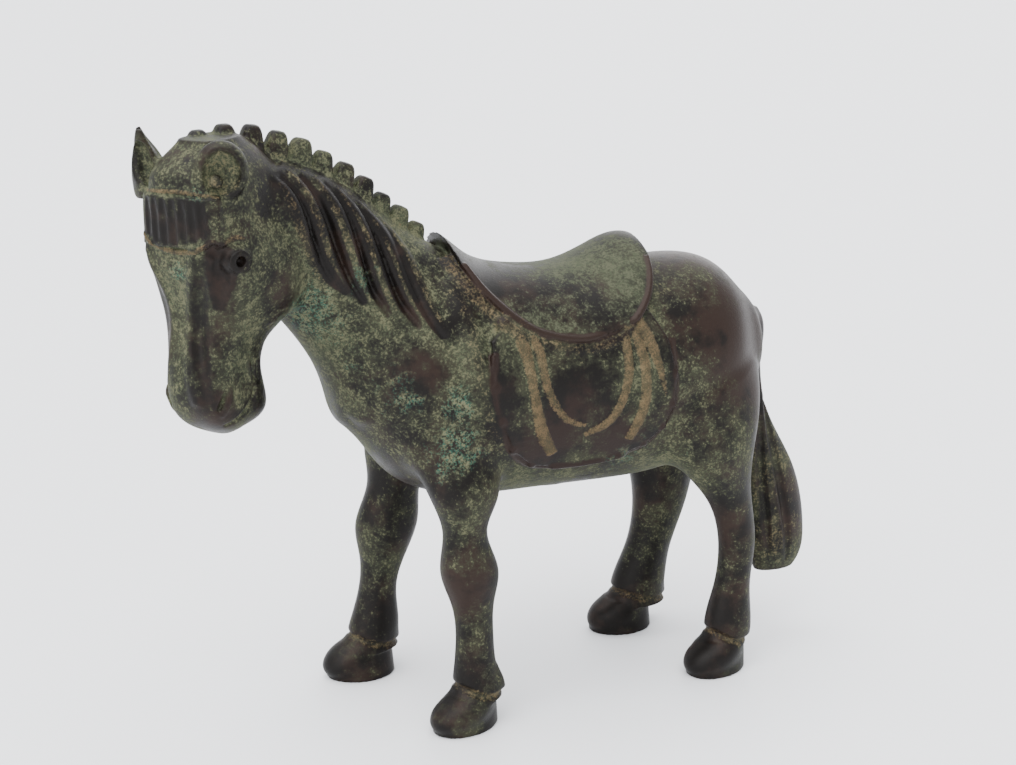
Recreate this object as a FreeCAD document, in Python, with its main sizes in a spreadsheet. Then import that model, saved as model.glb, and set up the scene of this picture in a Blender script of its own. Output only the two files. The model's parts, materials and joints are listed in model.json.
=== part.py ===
import FreeCAD, Part
import math
import os

# A cast bronze statuette of a standing saddled horse, in the sections a foundry casts and
# brazes together. Millimetres. +Z up, -X towards the nose, +X towards the tail, -Y the
# horse's left flank. The origin is the middle of the footprint, on the ground.

doc = FreeCAD.newDocument("bronze_horse")
sheet = doc.addObject("Spreadsheet::Sheet", "Sizes")
nodes = []
sheetRow = 0


# ---------- the sheet ----------

def size(alias, value, note=""):
    """Write one driving dimension on the next row of the sheet and give it its alias."""
    global sheetRow
    sheetRow += 1
    sheet.set(f"A{sheetRow}", alias)
    sheet.set(f"B{sheetRow}", str(value))
    sheet.set(f"C{sheetRow}", note)
    sheet.setAlias(f"B{sheetRow}", alias)


def cells(text):
    """Turn every <alias> in an expression into a reference to the sheet."""
    return text.replace("<", "Sizes.").replace(">", "")


def value(alias):
    """Read one size back from the sheet, for an outline made in code."""
    sheet.recompute()
    return float(sheet.get(alias))


overallSizes = (
    ("leg_height", 54.9, "ground to the underside of the belly"),
    ("trunk_length", 125.0, "breast to buttocks"),
    ("trunk_front", -46.8, "X of the breast; it sets where the origin falls under the horse"),
    ("midplane", 0.0, "Y of the horse's own middle plane"),
    ("fore_track", 20.0, "middle plane to a forehoof's centre"),
    ("hind_track", 17.6, "middle plane to a hind hoof's centre"),
    ("bronze_wall", 3.0, "wall of the hollow trunk casting"),
    ("braze_gap", 0.05, "radial gap left for braze round a spigot or plug"),
)
for alias, number, note in overallSizes:
    size(alias, number, note)


# ---------- shared building steps ----------

def part(kind, name, expressions, **properties):
    """Add a Part object, set its plain properties and bind the others to the sheet."""
    obj = doc.addObject(kind, name)
    for key, setting in properties.items():
        setattr(obj, key, setting)
    for key, text in expressions.items():
        obj.setExpression(key, cells(text))
    return obj


def placed(x, y, z, yaw="0", tilt="0"):
    """A placement expression: yaw about Z, then the section's long axis tilted up from the horizontal."""
    return f"placement(vector({x}; {y}; {z}); rotation({yaw}; -1 * ({tilt}); 0))"


def ring(name, x, y, z, major, minor, yaw="0", tilt="0"):
    """One elliptical cross-section, its longer half-axis first."""
    return part("Part::Ellipse", name, {
        "MajorRadius": major,
        "MinorRadius": minor,
        "Placement": placed(x, y, z, yaw, tilt),
    })


def loft(name, rings, ruled=False):
    return part("Part::Loft", name, {}, Sections=rings, Solid=True, Ruled=ruled, MaxDegree=3)


def cut(name, base, tool):
    return part("Part::Cut", name, {}, Base=base, Tool=tool)


def common(name, base, tool):
    return part("Part::Common", name, {}, Base=base, Tool=tool)


def fuse(name, shapes):
    return part("Part::MultiFuse", name, {}, Shapes=shapes)


def cutAll(name, base, tools):
    """Cut several tools from a base, one after another."""
    for count, tool in enumerate(tools, start=1):
        base = cut(f"{name}_trim{count}", base, tool)
    return base


def rod(name, radius, length, x, y, z, yaw="0", tilt="90"):
    """A round bar from a point, along its own axis; tilt 90 stands it upright, 0 lays it towards -X."""
    return part("Part::Cylinder", name, {
        "Radius": radius,
        "Height": length,
        "Placement": f"placement(vector({x}; {y}; {z}); rotation({yaw}; ({tilt}) - 90; 0))",
    })


def node(obj, label):
    """Name a finished piece; its Label names its file."""
    obj.Label = label
    nodes.append(obj)
    return obj


def tableSizes(prefix, rows, columns):
    """Put a table of stations on the sheet: one alias for each station and column."""
    for row in rows:
        for column, number in zip(columns, row[1:]):
            size(f"{prefix}_{row[0]}_{column}", number)


# ---------- trunk ----------
# Stations down the trunk: share of its length, centre over the belly line, half depth, half width.

trunkRows = (
    ("breast", 0.000, 34.0, 6.0, 5.0),
    ("brisket", 0.024, 35.5, 12.0, 10.0),
    ("chest", 0.072, 35.0, 19.5, 16.2),
    ("shoulder", 0.144, 34.5, 27.0, 22.0),
    ("girth", 0.248, 33.4, 30.0, 24.2),
    ("barrel", 0.408, 31.0, 28.8, 24.0),
    ("waist", 0.568, 30.8, 29.2, 24.2),
    ("flank", 0.704, 32.0, 29.8, 24.2),
    ("croup", 0.808, 33.6, 27.4, 22.8),
    ("haunch", 0.880, 34.4, 21.8, 17.8),
    ("rump", 0.930, 34.6, 15.4, 12.4),
    ("buttock", 0.964, 34.8, 8.6, 6.8),
)
tableSizes("trunk", trunkRows, ("share", "rise", "depth", "width"))


def trunkRing(name, station, grow="0"):
    prefix = f"<trunk_{station}"
    return ring(
        name,
        f"<trunk_front> + {prefix}_share> * <trunk_length>",
        "<midplane>",
        f"<leg_height> + {prefix}_rise>",
        f"{prefix}_depth> + {grow}",
        f"{prefix}_width> + {grow}",
        tilt="90",
    )


trunkStations = [row[0] for row in trunkRows]
trunkSkin = loft("trunk_skin", [trunkRing(f"trunk_{s}", s) for s in trunkStations])
coreStations = trunkStations[1:-1]
trunkCore = loft("trunk_core", [trunkRing(f"core_{s}", s, "-1 * <bronze_wall>") for s in coreStations])
trunkShell = cut("trunk_shell", trunkSkin, trunkCore)


# ---------- legs ----------
# Stations up each leg: share of the leg's height, X from the hoof's centre, half depth, half
# width, and how far the station stands in towards the middle plane. The hoof has its own sizes.

size("foreleg_left_stance", 26.1, "forehoof's centre behind the breast")
size("foreleg_right_stance", 11.1)
size("hindleg_left_stance", -21.8, "hind hoof's centre behind the buttocks")
size("hindleg_right_stance", -33.8)
size("hoof_share", 0.164, "ground to the coronet, as a share of the leg's height")
size("hoof_toe_out", 18.0, "degrees the left hooves turn outwards")
size("hoof_toe_out_right", 4.0, "degrees the right hooves turn outwards")
size("hoof_length", 19.0, "sole, heel to toe")
size("hoof_breadth", 14.0, "sole, side to side")
size("hoof_top_length", 13.5, "at the coronet")
size("hoof_top_breadth", 11.0, "at the coronet")
size("hoof_slope", 2.0, "coronet's middle behind the sole's middle")

legRows = {
    "foreleg_left": (
        ("fetlock", 0.140, 2.6, 7.6, 6.0, 0.0),
        ("pastern", 0.200, 3.4, 6.9, 5.6, 0.0),
        ("ankle", 0.350, 2.8, 5.4, 4.4, 0.0),
        ("cannon", 0.540, 2.6, 5.1, 4.2, 0.0),
        ("under_knee", 0.650, 2.2, 6.0, 4.9, 0.0),
        ("knee", 0.770, 1.6, 7.6, 6.2, 0.0),
        ("forearm", 0.930, 0.5, 6.2, 5.1, 0.0),
        ("elbow", 1.080, 0.2, 7.0, 5.6, -0.5),
        ("arm", 1.250, -0.7, 9.6, 7.4, 0.5),
        ("shoulder", 1.500, -1.7, 11.5, 7.5, 6.0),
    ),
    "foreleg_right": (
        ("fetlock", 0.140, 3.0, 8.2, 6.2, 0.0),
        ("pastern", 0.210, 3.5, 7.4, 5.8, 0.0),
        ("ankle", 0.350, 4.7, 6.2, 5.0, 0.0),
        ("cannon", 0.530, 6.1, 5.5, 4.5, 0.0),
        ("under_knee", 0.650, 7.3, 6.9, 5.6, 0.0),
        ("knee", 0.780, 8.3, 8.7, 6.8, 0.0),
        ("forearm", 0.930, 9.9, 7.8, 6.2, 0.0),
        ("elbow", 1.080, 11.9, 8.4, 6.6, -0.5),
        ("arm", 1.250, 13.4, 10.4, 7.8, 0.5),
        ("shoulder", 1.500, 14.4, 11.5, 7.5, 6.0),
    ),
    "hindleg_left": (
        ("fetlock", 0.140, 1.6, 7.2, 5.8, 0.0),
        ("pastern", 0.210, 3.4, 6.9, 5.6, 0.0),
        ("ankle", 0.330, 3.8, 6.3, 5.2, 0.0),
        ("cannon", 0.500, 4.8, 5.1, 4.2, 0.0),
        ("hock", 0.680, 5.4, 5.3, 4.4, 0.0),
        ("gaskin", 0.860, 3.6, 5.9, 4.8, 0.0),
        ("stifle", 1.050, -0.7, 9.0, 6.8, 0.0),
        ("thigh", 1.300, -3.9, 14.0, 9.3, 1.0),
        ("hip", 1.620, -4.6, 13.0, 8.0, 7.0),
    ),
    "hindleg_right": (
        ("fetlock", 0.140, 5.4, 9.2, 7.0, 0.0),
        ("pastern", 0.220, 5.6, 8.4, 6.6, 0.0),
        ("ankle", 0.330, 6.8, 7.8, 6.2, 0.0),
        ("cannon", 0.480, 9.4, 7.0, 5.7, 0.0),
        ("hock", 0.660, 12.0, 8.0, 6.2, 0.0),
        ("gaskin", 0.840, 12.8, 9.6, 7.2, 0.0),
        ("stifle", 1.050, 11.8, 12.5, 8.2, 0.0),
        ("thigh", 1.300, 8.6, 14.5, 9.3, 1.0),
        ("hip", 1.620, 7.6, 13.0, 8.0, 7.0),
    ),
}
for legName, rows in legRows.items():
    tableSizes(legName, rows, ("share", "behind", "depth", "width", "inset"))


def legCentre(legName):
    """The leg's own lane: half a track either side of the middle plane."""
    track = "<fore_track>" if legName.startswith("fore") else "<hind_track>"
    side = "-" if legName.endswith("left") else "+"
    return side, track


def legX(legName):
    """X of the hoof's centre, from the end of the trunk that the leg carries."""
    end = "<trunk_front>" if legName.startswith("fore") else "<trunk_front> + <trunk_length>"
    return f"{end} + <{legName}_stance>"


def hoof(legName):
    """A hoof as a ruled flare from its sole up to the coronet."""
    side, track = legCentre(legName)
    if legName.endswith("left"):
        turn = "<hoof_toe_out>"
    else:
        turn = "-1 * <hoof_toe_out_right>"
    lane = f"<midplane> {side} {track}"
    sole = ring(f"{legName}_sole", legX(legName), lane, "0",
                "<hoof_length> / 2", "<hoof_breadth> / 2", yaw=turn)
    coronet = ring(f"{legName}_coronet", f"{legX(legName)} + <hoof_slope>", lane,
                   "<hoof_share> * <leg_height>", "<hoof_top_length> / 2", "<hoof_top_breadth> / 2",
                   yaw=turn)
    return loft(f"{legName}_hoof", [sole, coronet], ruled=True)


def leg(legName):
    """A limb through its stations, on its hoof."""
    side, track = legCentre(legName)
    inward = "-" if side == "+" else "+"
    rings = []
    for row in legRows[legName]:
        prefix = f"<{legName}_{row[0]}"
        rings.append(ring(
            f"{legName}_{row[0]}",
            f"{legX(legName)} + {prefix}_behind>",
            f"<midplane> {side} {track} {inward} {prefix}_inset>",
            f"{prefix}_share> * <leg_height>",
            f"{prefix}_depth>",
            f"{prefix}_width>",
        ))
    limb = loft(f"{legName}_limb", rings)
    return fuse(f"{legName}_casting", [limb, hoof(legName)])


legCastings = {legName: leg(legName) for legName in legRows}

# ---------- neck ----------
# Stations up the neck: X behind the breast, height over the belly line, swing to the left of the
# middle plane, tilt of the section, half depth, half width.

neckRows = (
    ("root", 24.0, 41.0, 0.0, 40.0, 26.0, 19.0),
    ("base", 12.0, 53.5, 0.5, 45.0, 22.2, 16.0),
    ("middle", 1.6, 64.6, 1.0, 46.0, 18.7, 12.8),
    ("upper", -8.0, 74.5, 3.0, 42.0, 17.2, 11.0),
    ("nape", -17.0, 83.0, 5.5, 40.0, 14.5, 10.0),
    ("top", -23.0, 88.5, 7.5, 38.0, 11.0, 8.5),
)
tableSizes("neck", neckRows, ("back", "rise", "swing", "tilt", "depth", "width"))


def neckRing(station):
    prefix = f"<neck_{station}"
    return ring(
        f"neck_{station}",
        f"<trunk_front> + {prefix}_back>",
        f"<midplane> - {prefix}_swing>",
        f"<leg_height> + {prefix}_rise>",
        f"{prefix}_depth>",
        f"{prefix}_width>",
        tilt=f"{prefix}_tilt>",
    )


neckCasting = loft("neck_casting", [neckRing(row[0]) for row in neckRows])


# ---------- head ----------
# The head hangs from the poll and turns to the left. Stations down it: height over the belly
# line, distance forward of the poll's axis, half depth, half width.

size("head_turn", 40.0, "degrees the head turns left")
size("head_back", -28.0, "X of the poll's axis behind the breast")
size("head_swing", 8.0, "the poll's axis to the left of the middle plane")
headRows = (
    ("crown", 102.5, 5.5, 7.0, 5.5),
    ("poll", 97.5, 4.8, 12.5, 9.5),
    ("temple", 90.0, 3.5, 15.5, 12.0),
    ("brow", 80.0, 1.7, 16.8, 14.0),
    ("eye", 74.0, 1.2, 17.3, 14.8),
    ("cheek", 68.0, 0.8, 16.0, 13.6),
    ("jaw", 60.0, 3.2, 13.0, 10.9),
    ("bridge", 51.0, 7.4, 10.9, 8.8),
    ("muzzle", 43.0, 7.5, 11.1, 9.0),
    ("lip", 37.5, 5.8, 10.4, 8.4),
    ("chin", 34.2, 5.2, 7.2, 5.8),
    ("chin_tip", 32.4, 4.8, 4.0, 3.2),
)
tableSizes("head", headRows, ("rise", "ahead", "depth", "width"))
size("head_squareness", 3.2, "exponent of the head's sections: 2 is an ellipse")
ringPoints = 24


def headX(ahead, aside="0"):
    """X of a point given forward of the poll's axis and to the head's own left."""
    return (f"<trunk_front> + <head_back> - ({ahead}) * cos(<head_turn> * 1deg)"
            f" + ({aside}) * sin(<head_turn> * 1deg)")


def headY(ahead, aside="0"):
    return (f"<midplane> - <head_swing> - ({ahead}) * sin(<head_turn> * 1deg)"
            f" - ({aside}) * cos(<head_turn> * 1deg)")


def squareRing(name, halfDepth, halfWidth, placement):
    """A rounded-square outline, which no ellipse or primitive gives: |x/a|^n + |y/b|^n = 1."""
    power = 2 / value("head_squareness")
    points = []
    for count in range(ringPoints):
        turn = 2 * math.pi * count / ringPoints
        across, along = math.sin(turn), math.cos(turn)
        points.append(FreeCAD.Vector(
            halfDepth * math.copysign(abs(along) ** power, along),
            halfWidth * math.copysign(abs(across) ** power, across),
            0,
        ))
    outline = Part.BSplineCurve()
    outline.interpolate(Points=points, PeriodicFlag=True)
    obj = doc.addObject("Part::Feature", name)
    obj.Shape = Part.Wire(outline.toShape())
    obj.setExpression("Placement", cells(placement))
    return obj


def headRing(name, station, grow=0.0):
    """The head's face is flat and its cheeks square to it, so its sections are rounded squares."""
    prefix = f"head_{station}"
    ahead = f"<{prefix}_ahead>"
    return squareRing(
        name,
        value(f"{prefix}_depth") + grow,
        value(f"{prefix}_width") + grow,
        placed(headX(ahead), headY(ahead), f"<leg_height> + <{prefix}_rise>", "<head_turn>"),
    )


headCasting = loft("head_casting", [headRing(f"head_{row[0]}", row[0]) for row in headRows])


# ---------- ears ----------
# Stations up each ear: height over its root, lean forward, half breadth, half thickness.

size("ear_root_rise", 88.6, "height of the ears' roots over the belly line")
size("ear_left_ahead", 12.6, "forward of the poll's axis")
size("ear_left_aside", 8.6, "to the left of the poll's axis")
size("ear_left_turn", 36.0, "degrees the ear opens out to its own side")
size("ear_right_ahead", 10.6, "forward of the poll's axis")
size("ear_right_aside", -12.4, "negative is to the right of the poll's axis")
size("ear_right_turn", 0.0, "degrees the ear opens out to its own side")
size("ear_bowl_depth", 2.2, "how far the hollow of the ear is sunk in")
size("ear_bowl_height", 5.0, "half height of the hollow")
size("ear_bowl_breadth", 3.0, "half breadth of the hollow")
size("ear_bowl_rise", 8.5, "middle of the hollow over the ear's root")
earRows = {
    "ear_left": (
        ("root", 0.0, 0.0, 4.6, 3.6),
        ("swell", 6.0, 0.8, 5.2, 3.4),
        ("upper", 11.0, 1.2, 4.2, 2.8),
        ("tip", 14.5, 1.4, 1.8, 1.2),
    ),
    "ear_right": (
        ("root", 0.0, 0.0, 4.8, 3.6),
        ("swell", 6.0, 1.6, 4.2, 3.1),
        ("upper", 11.5, 3.2, 2.4, 1.8),
        ("tip", 16.0, 4.4, 0.8, 0.6),
    ),
}
for earName, rows in earRows.items():
    tableSizes(earName, rows, ("rise", "lean", "breadth", "thickness"))


def ear(earName):
    """A leaf-shaped ear with a hollow sunk into its front."""
    aside = f"<{earName}_aside>"
    turn = f"<{earName}_turn>"
    rings = []
    for row in earRows[earName]:
        prefix = f"<{earName}_{row[0]}"
        ahead = f"<{earName}_ahead> + {prefix}_lean>"
        rings.append(ring(
            f"{earName}_{row[0]}",
            headX(ahead, aside),
            headY(ahead, aside),
            f"<leg_height> + <ear_root_rise> + {prefix}_rise>",
            f"{prefix}_breadth>",
            f"{prefix}_thickness>",
            yaw=f"<head_turn> + 90 + {turn}",
        ))
    leaf = loft(f"{earName}_leaf", rings)
    swell = f"<{earName}_swell"
    bowlAhead = f"<{earName}_ahead> + {swell}_lean> + {swell}_thickness> * cos({turn} * 1deg)"
    bowlAside = f"{aside} + {swell}_thickness> * sin({turn} * 1deg)"
    bowl = part("Part::Ellipsoid", f"{earName}_bowl", {
        "Radius1": "<ear_bowl_height>",
        "Radius2": "<ear_bowl_depth>",
        "Radius3": "<ear_bowl_breadth>",
        "Placement": placed(headX(bowlAhead, bowlAside), headY(bowlAhead, bowlAside),
                            "<leg_height> + <ear_root_rise> + <ear_bowl_rise>",
                            f"<head_turn> + {turn}"),
    })
    return cut(f"{earName}_casting", leaf, bowl)


earCastings = {earName: ear(earName) for earName in earRows}


# ---------- forelock ----------

size("forelock_thickness", 1.3, "how far the forelock stands off the brow")
size("forelock_bottom_rise", 79.5, "lower edge over the belly line")
size("forelock_height", 11.5, "lower edge to upper edge")
size("forelock_breadth", 21.0, "side to side")
size("forelock_ahead", 8.0, "where the band starts, forward of the poll's axis")
size("forelock_reach", 20.0, "depth of the block that bounds the band")
browStations = ("poll", "temple", "brow", "eye", "cheek")
browSkin = loft("brow_skin", [
    headRing(f"forelock_{station}", station, value("forelock_thickness")) for station in browStations
])
forelockCorner = ("<forelock_ahead> + <forelock_reach>", "<forelock_breadth> / 2")
forelockBlock = part("Part::Box", "forelock_block", {
    "Length": "<forelock_reach>",
    "Width": "<forelock_breadth>",
    "Height": "<forelock_height>",
    "Placement": placed(headX(*forelockCorner), headY(*forelockCorner),
                        "<leg_height> + <forelock_bottom_rise>", "<head_turn>"),
})
forelockBand = common("forelock_band", browSkin, forelockBlock)


# ---------- mane crest ----------
# Eleven clipped tufts follow a bowed line from the poll down to the withers.

size("crest_front_back", -33.5, "X of the foremost tuft behind the breast")
size("crest_front_rise", 99.0, "its middle over the belly line")
size("crest_rear_back", 20.0, "X of the rearmost tuft behind the breast")
size("crest_rear_rise", 71.0, "its middle over the belly line")
size("crest_bow", 9.0, "how far the line bows up in the middle")
size("tuft_length", 7.6, "along the crest")
size("tuft_breadth", 6.4, "across the crest")
size("tuft_height", 8.0, "most of it is bedded in the neck")
size("root_overlap", 1.38, "length of a tuft's root, in steps of the row: over 1 joins the tufts")
size("root_breadth", 6.0, "across the crest")
tuftCount = 11


def tuft(count):
    """A tuft and its root; their slope is half that of the line, so the tops step down."""
    share = count / (tuftCount - 1)
    run = "(<crest_rear_back> - <crest_front_back>)"
    drop = "(<crest_rear_rise> - <crest_front_rise>)"
    slope = f"atan(({drop} + 4 * (1 - 2 * {share}) * <crest_bow>) / {run}) / 1deg / 2"
    middleX = f"<trunk_front> + <crest_front_back> + {share} * {run}"
    middleY = f"<midplane> - (1 - {share}) * <head_swing>"
    bow = f"4 * {share} * (1 - {share}) * <crest_bow>"
    middleZ = f"<leg_height> + <crest_front_rise> + {share} * {drop} + {bow}"
    return [
        crestBlock(f"tuft_{count + 1}", (middleX, middleY, middleZ), slope,
                   ("<tuft_length>", "<tuft_breadth>", "<tuft_height>")),
        crestBlock(f"tuft_root_{count + 1}", (middleX, middleY, f"{middleZ} - <tuft_height> / 10"), slope,
                   (f"<root_overlap> * {run} / {tuftCount - 1}", "<root_breadth>", "<tuft_height> * 0.7")),
    ]


def crestBlock(name, middle, slope, extents):
    """A block of the crest about its middle, tilted with the line."""
    corner = [f"{place} - {extent} / 2" for place, extent in zip(middle, extents)]
    return part("Part::Box", name, {
        "Length": extents[0],
        "Width": extents[1],
        "Height": extents[2],
        "Placement": placed(*corner, tilt=slope),
    })


crestBlank = fuse("crest_blank", [block for count in range(tuftCount) for block in tuft(count)])


# ---------- saddle and its cloth ----------
# Stations along the seat: X behind the pommel, half depth over the seat's own level, half width.

size("saddle_front", 24.0, "X of the pommel behind the breast")
size("saddle_level", 31.0, "level the seat's depths are measured from, over the belly line")
size("saddle_length", 66.0, "pommel to cantle")
size("saddle_drop", 26.0, "skirt's lowest edge below the outline's middle")
size("saddle_outline_rise", 73.0, "middle of the skirt's outline over the belly line")
saddleRows = (
    ("pommel", -2.0, 44.0, 26.5),
    ("arch", 8.0, 38.5, 26.6),
    ("twist", 16.0, 33.8, 26.4),
    ("dip", 28.0, 31.6, 26.2),
    ("seat", 38.0, 31.8, 26.2),
    ("rise", 46.0, 34.2, 26.3),
    ("cantle", 54.0, 37.4, 26.3),
    ("rear", 62.0, 35.4, 25.6),
    ("tail", 68.0, 31.5, 25.0),
)
tableSizes("saddle", saddleRows, ("back", "depth", "width"))
size("cloth_thickness", 1.5, "how far the cloth stands off the flank")
size("cloth_round", 26.0, "radius of the panel's outline")
size("cloth_middle_back", 57.7, "X of the outline's middle behind the breast")
size("cloth_middle_rise", 38.8, "its middle over the belly line")
size("cloth_parting", 5.0, "nothing of either panel comes this near the middle plane")
size("side_reach", 80.0, "half length of the blocks that bound the saddlery, across the horse")


def saddleRing(station):
    prefix = f"<saddle_{station}"
    return ring(
        f"saddle_{station}",
        f"<trunk_front> + <saddle_front> + {prefix}_back>",
        "<midplane>",
        "<leg_height> + <saddle_level>",
        f"{prefix}_depth>",
        f"{prefix}_width>",
        tilt="90",
    )


seatSkin = loft("seat_skin", [saddleRing(row[0]) for row in saddleRows])
skirtOutline = part("Part::Ellipse", "skirt_outline", {
    "MajorRadius": "<saddle_length> / 2",
    "MinorRadius": "<saddle_drop>",
    "Placement": "placement(vector(<trunk_front> + <saddle_front> + <saddle_length> / 2;"
                 " <midplane> - <side_reach>; <leg_height> + <saddle_outline_rise>); rotation(0; 0; 90))",
})
skirtBlock = part("Part::Extrusion", "skirt_block", {"LengthFwd": "2 * <side_reach>"},
                  Base=skirtOutline, DirMode="Custom", Dir=FreeCAD.Vector(0, 1, 0), Solid=True)
saddleBlank = common("saddle_blank", seatSkin, skirtBlock)
saddleCasting = cut("saddle_casting", saddleBlank, trunkSkin)

clothStations = trunkStations[2:-2]
clothSkin = loft("cloth_skin", [trunkRing(f"cloth_{s}", s, "<cloth_thickness>") for s in clothStations])
clothOutline = part("Part::Cylinder", "cloth_outline", {
    "Radius": "<cloth_round>",
    "Height": "2 * <side_reach>",
    "Placement": "placement(vector(<trunk_front> + <cloth_middle_back>; <midplane> + <side_reach>;"
                 " <leg_height> + <cloth_middle_rise>); rotation(0; 0; 90))",
})
clothBlock = cut("cloth_block", clothOutline, skirtBlock)


def clothHalf(label, startY):
    """The panel on one flank, hanging from under the skirt's edge."""
    side = part("Part::Box", f"{label}_side", {
        "Length": "<trunk_length>",
        "Width": "<side_reach>",
        "Height": "2 * <side_reach>",
        "Placement": placed("<trunk_front>", startY, "0"),
    })
    panelBlock = common(f"{label}_block", clothBlock, side)
    return cut(f"{label}_casting", common(f"{label}_blank", clothSkin, panelBlock), trunkSkin)


# ---------- tail ----------
# Stations down the tail: X behind the buttocks, height over the belly line, half depth, half width.

tailRows = (
    ("dock", -7.0, 44.0, 4.6, 3.6),
    ("root", -4.2, 36.0, 4.4, 3.5),
    ("bend", -4.8, 25.0, 4.6, 3.6),
    ("upper", -2.8, 12.7, 5.6, 4.0),
    ("middle", 2.7, -0.3, 7.3, 4.3),
    ("lower", 7.0, -16.6, 8.8, 4.5),
    ("sweep", 8.0, -29.0, 8.8, 4.3),
    ("tip", 7.5, -36.0, 6.2, 3.2),
)
tableSizes("tail", tailRows, ("back", "rise", "depth", "width"))


def tailRing(station):
    prefix = f"<tail_{station}"
    return ring(
        f"tail_{station}",
        f"<trunk_front> + <trunk_length> + {prefix}_back>",
        "<midplane>",
        f"<leg_height> + {prefix}_rise>",
        f"{prefix}_depth>",
        f"{prefix}_width>",
    )


tailCasting = loft("tail_casting", [tailRing(row[0]) for row in tailRows])


# ---------- spigots, pins and plugs ----------

size("leg_dowel_radius", 2.2)
size("leg_dowel_rise", 2.0, "its foot over the belly line")
size("leg_dowel_length", 19.0)
size("neck_dowel_radius", 3.5)
size("neck_dowel_back", 17.0, "its inner end, X behind the breast")
size("neck_dowel_rise", 48.0, "its inner end over the belly line")
size("neck_dowel_length", 24.0)
size("neck_dowel_tilt", 45.0, "degrees up from the horizontal")
size("head_dowel_radius", 2.5)
size("head_dowel_back", -10.0, "its inner end, X behind the breast")
size("head_dowel_swing", 2.5, "its inner end to the left of the middle plane")
size("head_dowel_rise", 76.0, "its inner end over the belly line")
size("head_dowel_length", 18.0)
size("head_dowel_tilt", 33.0, "degrees up from the horizontal")
size("head_dowel_turn", 21.0, "degrees to the left")
size("tail_dowel_radius", 1.2)
size("tail_dowel_back", -12.0, "its inner end, X behind the buttocks")
size("tail_dowel_rise", 34.0, "over the belly line")
size("tail_dowel_length", 10.4)
size("saddle_pin_radius", 1.5)
size("saddle_pin_rise", 55.0, "its foot over the belly line")
size("saddle_pin_length", 10.5)
size("saddle_pin_front_back", 36.0, "X of the front pin behind the breast")
size("saddle_pin_rear_back", 74.0, "X of the rear pin behind the breast")
size("plug_radius", 6.0, "plug of the core's vent under the belly")
size("plug_back", 58.0, "X of the plug behind the breast")
size("core_pin_radius", 0.9, "iron pins that held the core")
size("core_pin_front_back", 44.0, "X of the front pins behind the breast")
size("core_pin_rear_back", 68.0, "X of the rear pins behind the breast")


def spigot(name, prefix, x, y, z, yaw="0", tilt="90"):
    """A round bar and the bore it is brazed into."""
    bar = rod(name, f"<{prefix}_radius>", f"<{prefix}_length>", x, y, z, yaw, tilt)
    bore = rod(f"{name}_bore", f"<{prefix}_radius> + <braze_gap>", f"<{prefix}_length>", x, y, z, yaw, tilt)
    return bar, bore


def legSpigot(legName):
    side, track = legCentre(legName)
    inward = "-" if side == "+" else "+"
    station = "arm" if legName.startswith("fore") else "thigh"
    prefix = f"<{legName}_{station}"
    return spigot(f"{legName}_dowel", "leg_dowel",
                  f"{legX(legName)} + {prefix}_behind>",
                  f"<midplane> {side} {track} {inward} {prefix}_inset>",
                  "<leg_height> + <leg_dowel_rise>")


legSpigots = {legName: legSpigot(legName) for legName in legRows}
neckDowel, neckBore = spigot(
    "neck_dowel_bar", "neck_dowel", "<trunk_front> + <neck_dowel_back>", "<midplane>",
    "<leg_height> + <neck_dowel_rise>", tilt="<neck_dowel_tilt>")
headDowel, headBore = spigot(
    "head_dowel_bar", "head_dowel", "<trunk_front> + <head_dowel_back>", "<midplane> - <head_dowel_swing>",
    "<leg_height> + <head_dowel_rise>", yaw="<head_dowel_turn>", tilt="<head_dowel_tilt>")
tailDowel, tailBore = spigot(
    "tail_dowel_bar", "tail_dowel", "<trunk_front> + <trunk_length> + <tail_dowel_back>", "<midplane>",
    "<leg_height> + <tail_dowel_rise>", tilt="180")
saddleSpigots = [
    spigot(f"saddle_pin_{end}", "saddle_pin", f"<trunk_front> + <saddle_pin_{end}_back>", "<midplane>",
           "<leg_height> + <saddle_pin_rise>")
    for end in ("front", "rear")
]
plugLength = "2 * <bronze_wall> + <trunk_waist_rise> / 2"
plugCore = rod("plug_core", "<plug_radius>", plugLength, "<trunk_front> + <plug_back>", "<midplane>",
               "<leg_height> - <bronze_wall>")
plugHole = rod("plug_hole", "<plug_radius> + <braze_gap>", plugLength, "<trunk_front> + <plug_back>",
               "<midplane>", "<leg_height> - <bronze_wall>")
corePinRods = [
    rod(f"core_pin_{end}", "<core_pin_radius>", "3 * <trunk_girth_depth>",
        f"<trunk_front> + <core_pin_{end}_back>", "<midplane>", "<leg_height> - <bronze_wall>")
    for end in ("front", "rear")
]


# ---------- pieces ----------

saddleBores = [bore for bar, bore in saddleSpigots]
legBores = [bore for bar, bore in legSpigots.values()]
node(cutAll("torso_casting", trunkShell,
            legBores + saddleBores + corePinRods + [neckBore, tailBore, plugHole]), "torso")
node(cutAll("neck_coped", neckCasting, [trunkSkin, headCasting, neckBore, headBore]), "neck")
node(cutAll("head_bored", headCasting, [headBore]), "head")
for earName, casting in earCastings.items():
    node(cutAll(f"{earName}_coped", casting, [headCasting, neckCasting]), earName)
node(cutAll("forelock_coped", forelockBand, [headCasting] + list(earCastings.values())), "forelock")
node(cutAll("crest_coped", crestBlank,
            [neckCasting, headCasting, trunkSkin] + list(earCastings.values())), "mane_crest")
node(cutAll("saddle_bored", saddleCasting, saddleBores), "saddle")
node(clothHalf("saddle_cloth_left", "<midplane> - <side_reach> - <cloth_parting>"), "saddle_cloth_left")
node(clothHalf("saddle_cloth_right", "<midplane> + <cloth_parting>"), "saddle_cloth_right")
node(cutAll("tail_coped", tailCasting, [trunkSkin, tailBore]), "tail")
for legName, casting in legCastings.items():
    node(cutAll(f"{legName}_coped", casting, [trunkSkin, legSpigots[legName][1]]), legName)
node(fuse("leg_dowel_group", [bar for bar, bore in legSpigots.values()]), "leg_dowels")
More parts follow.
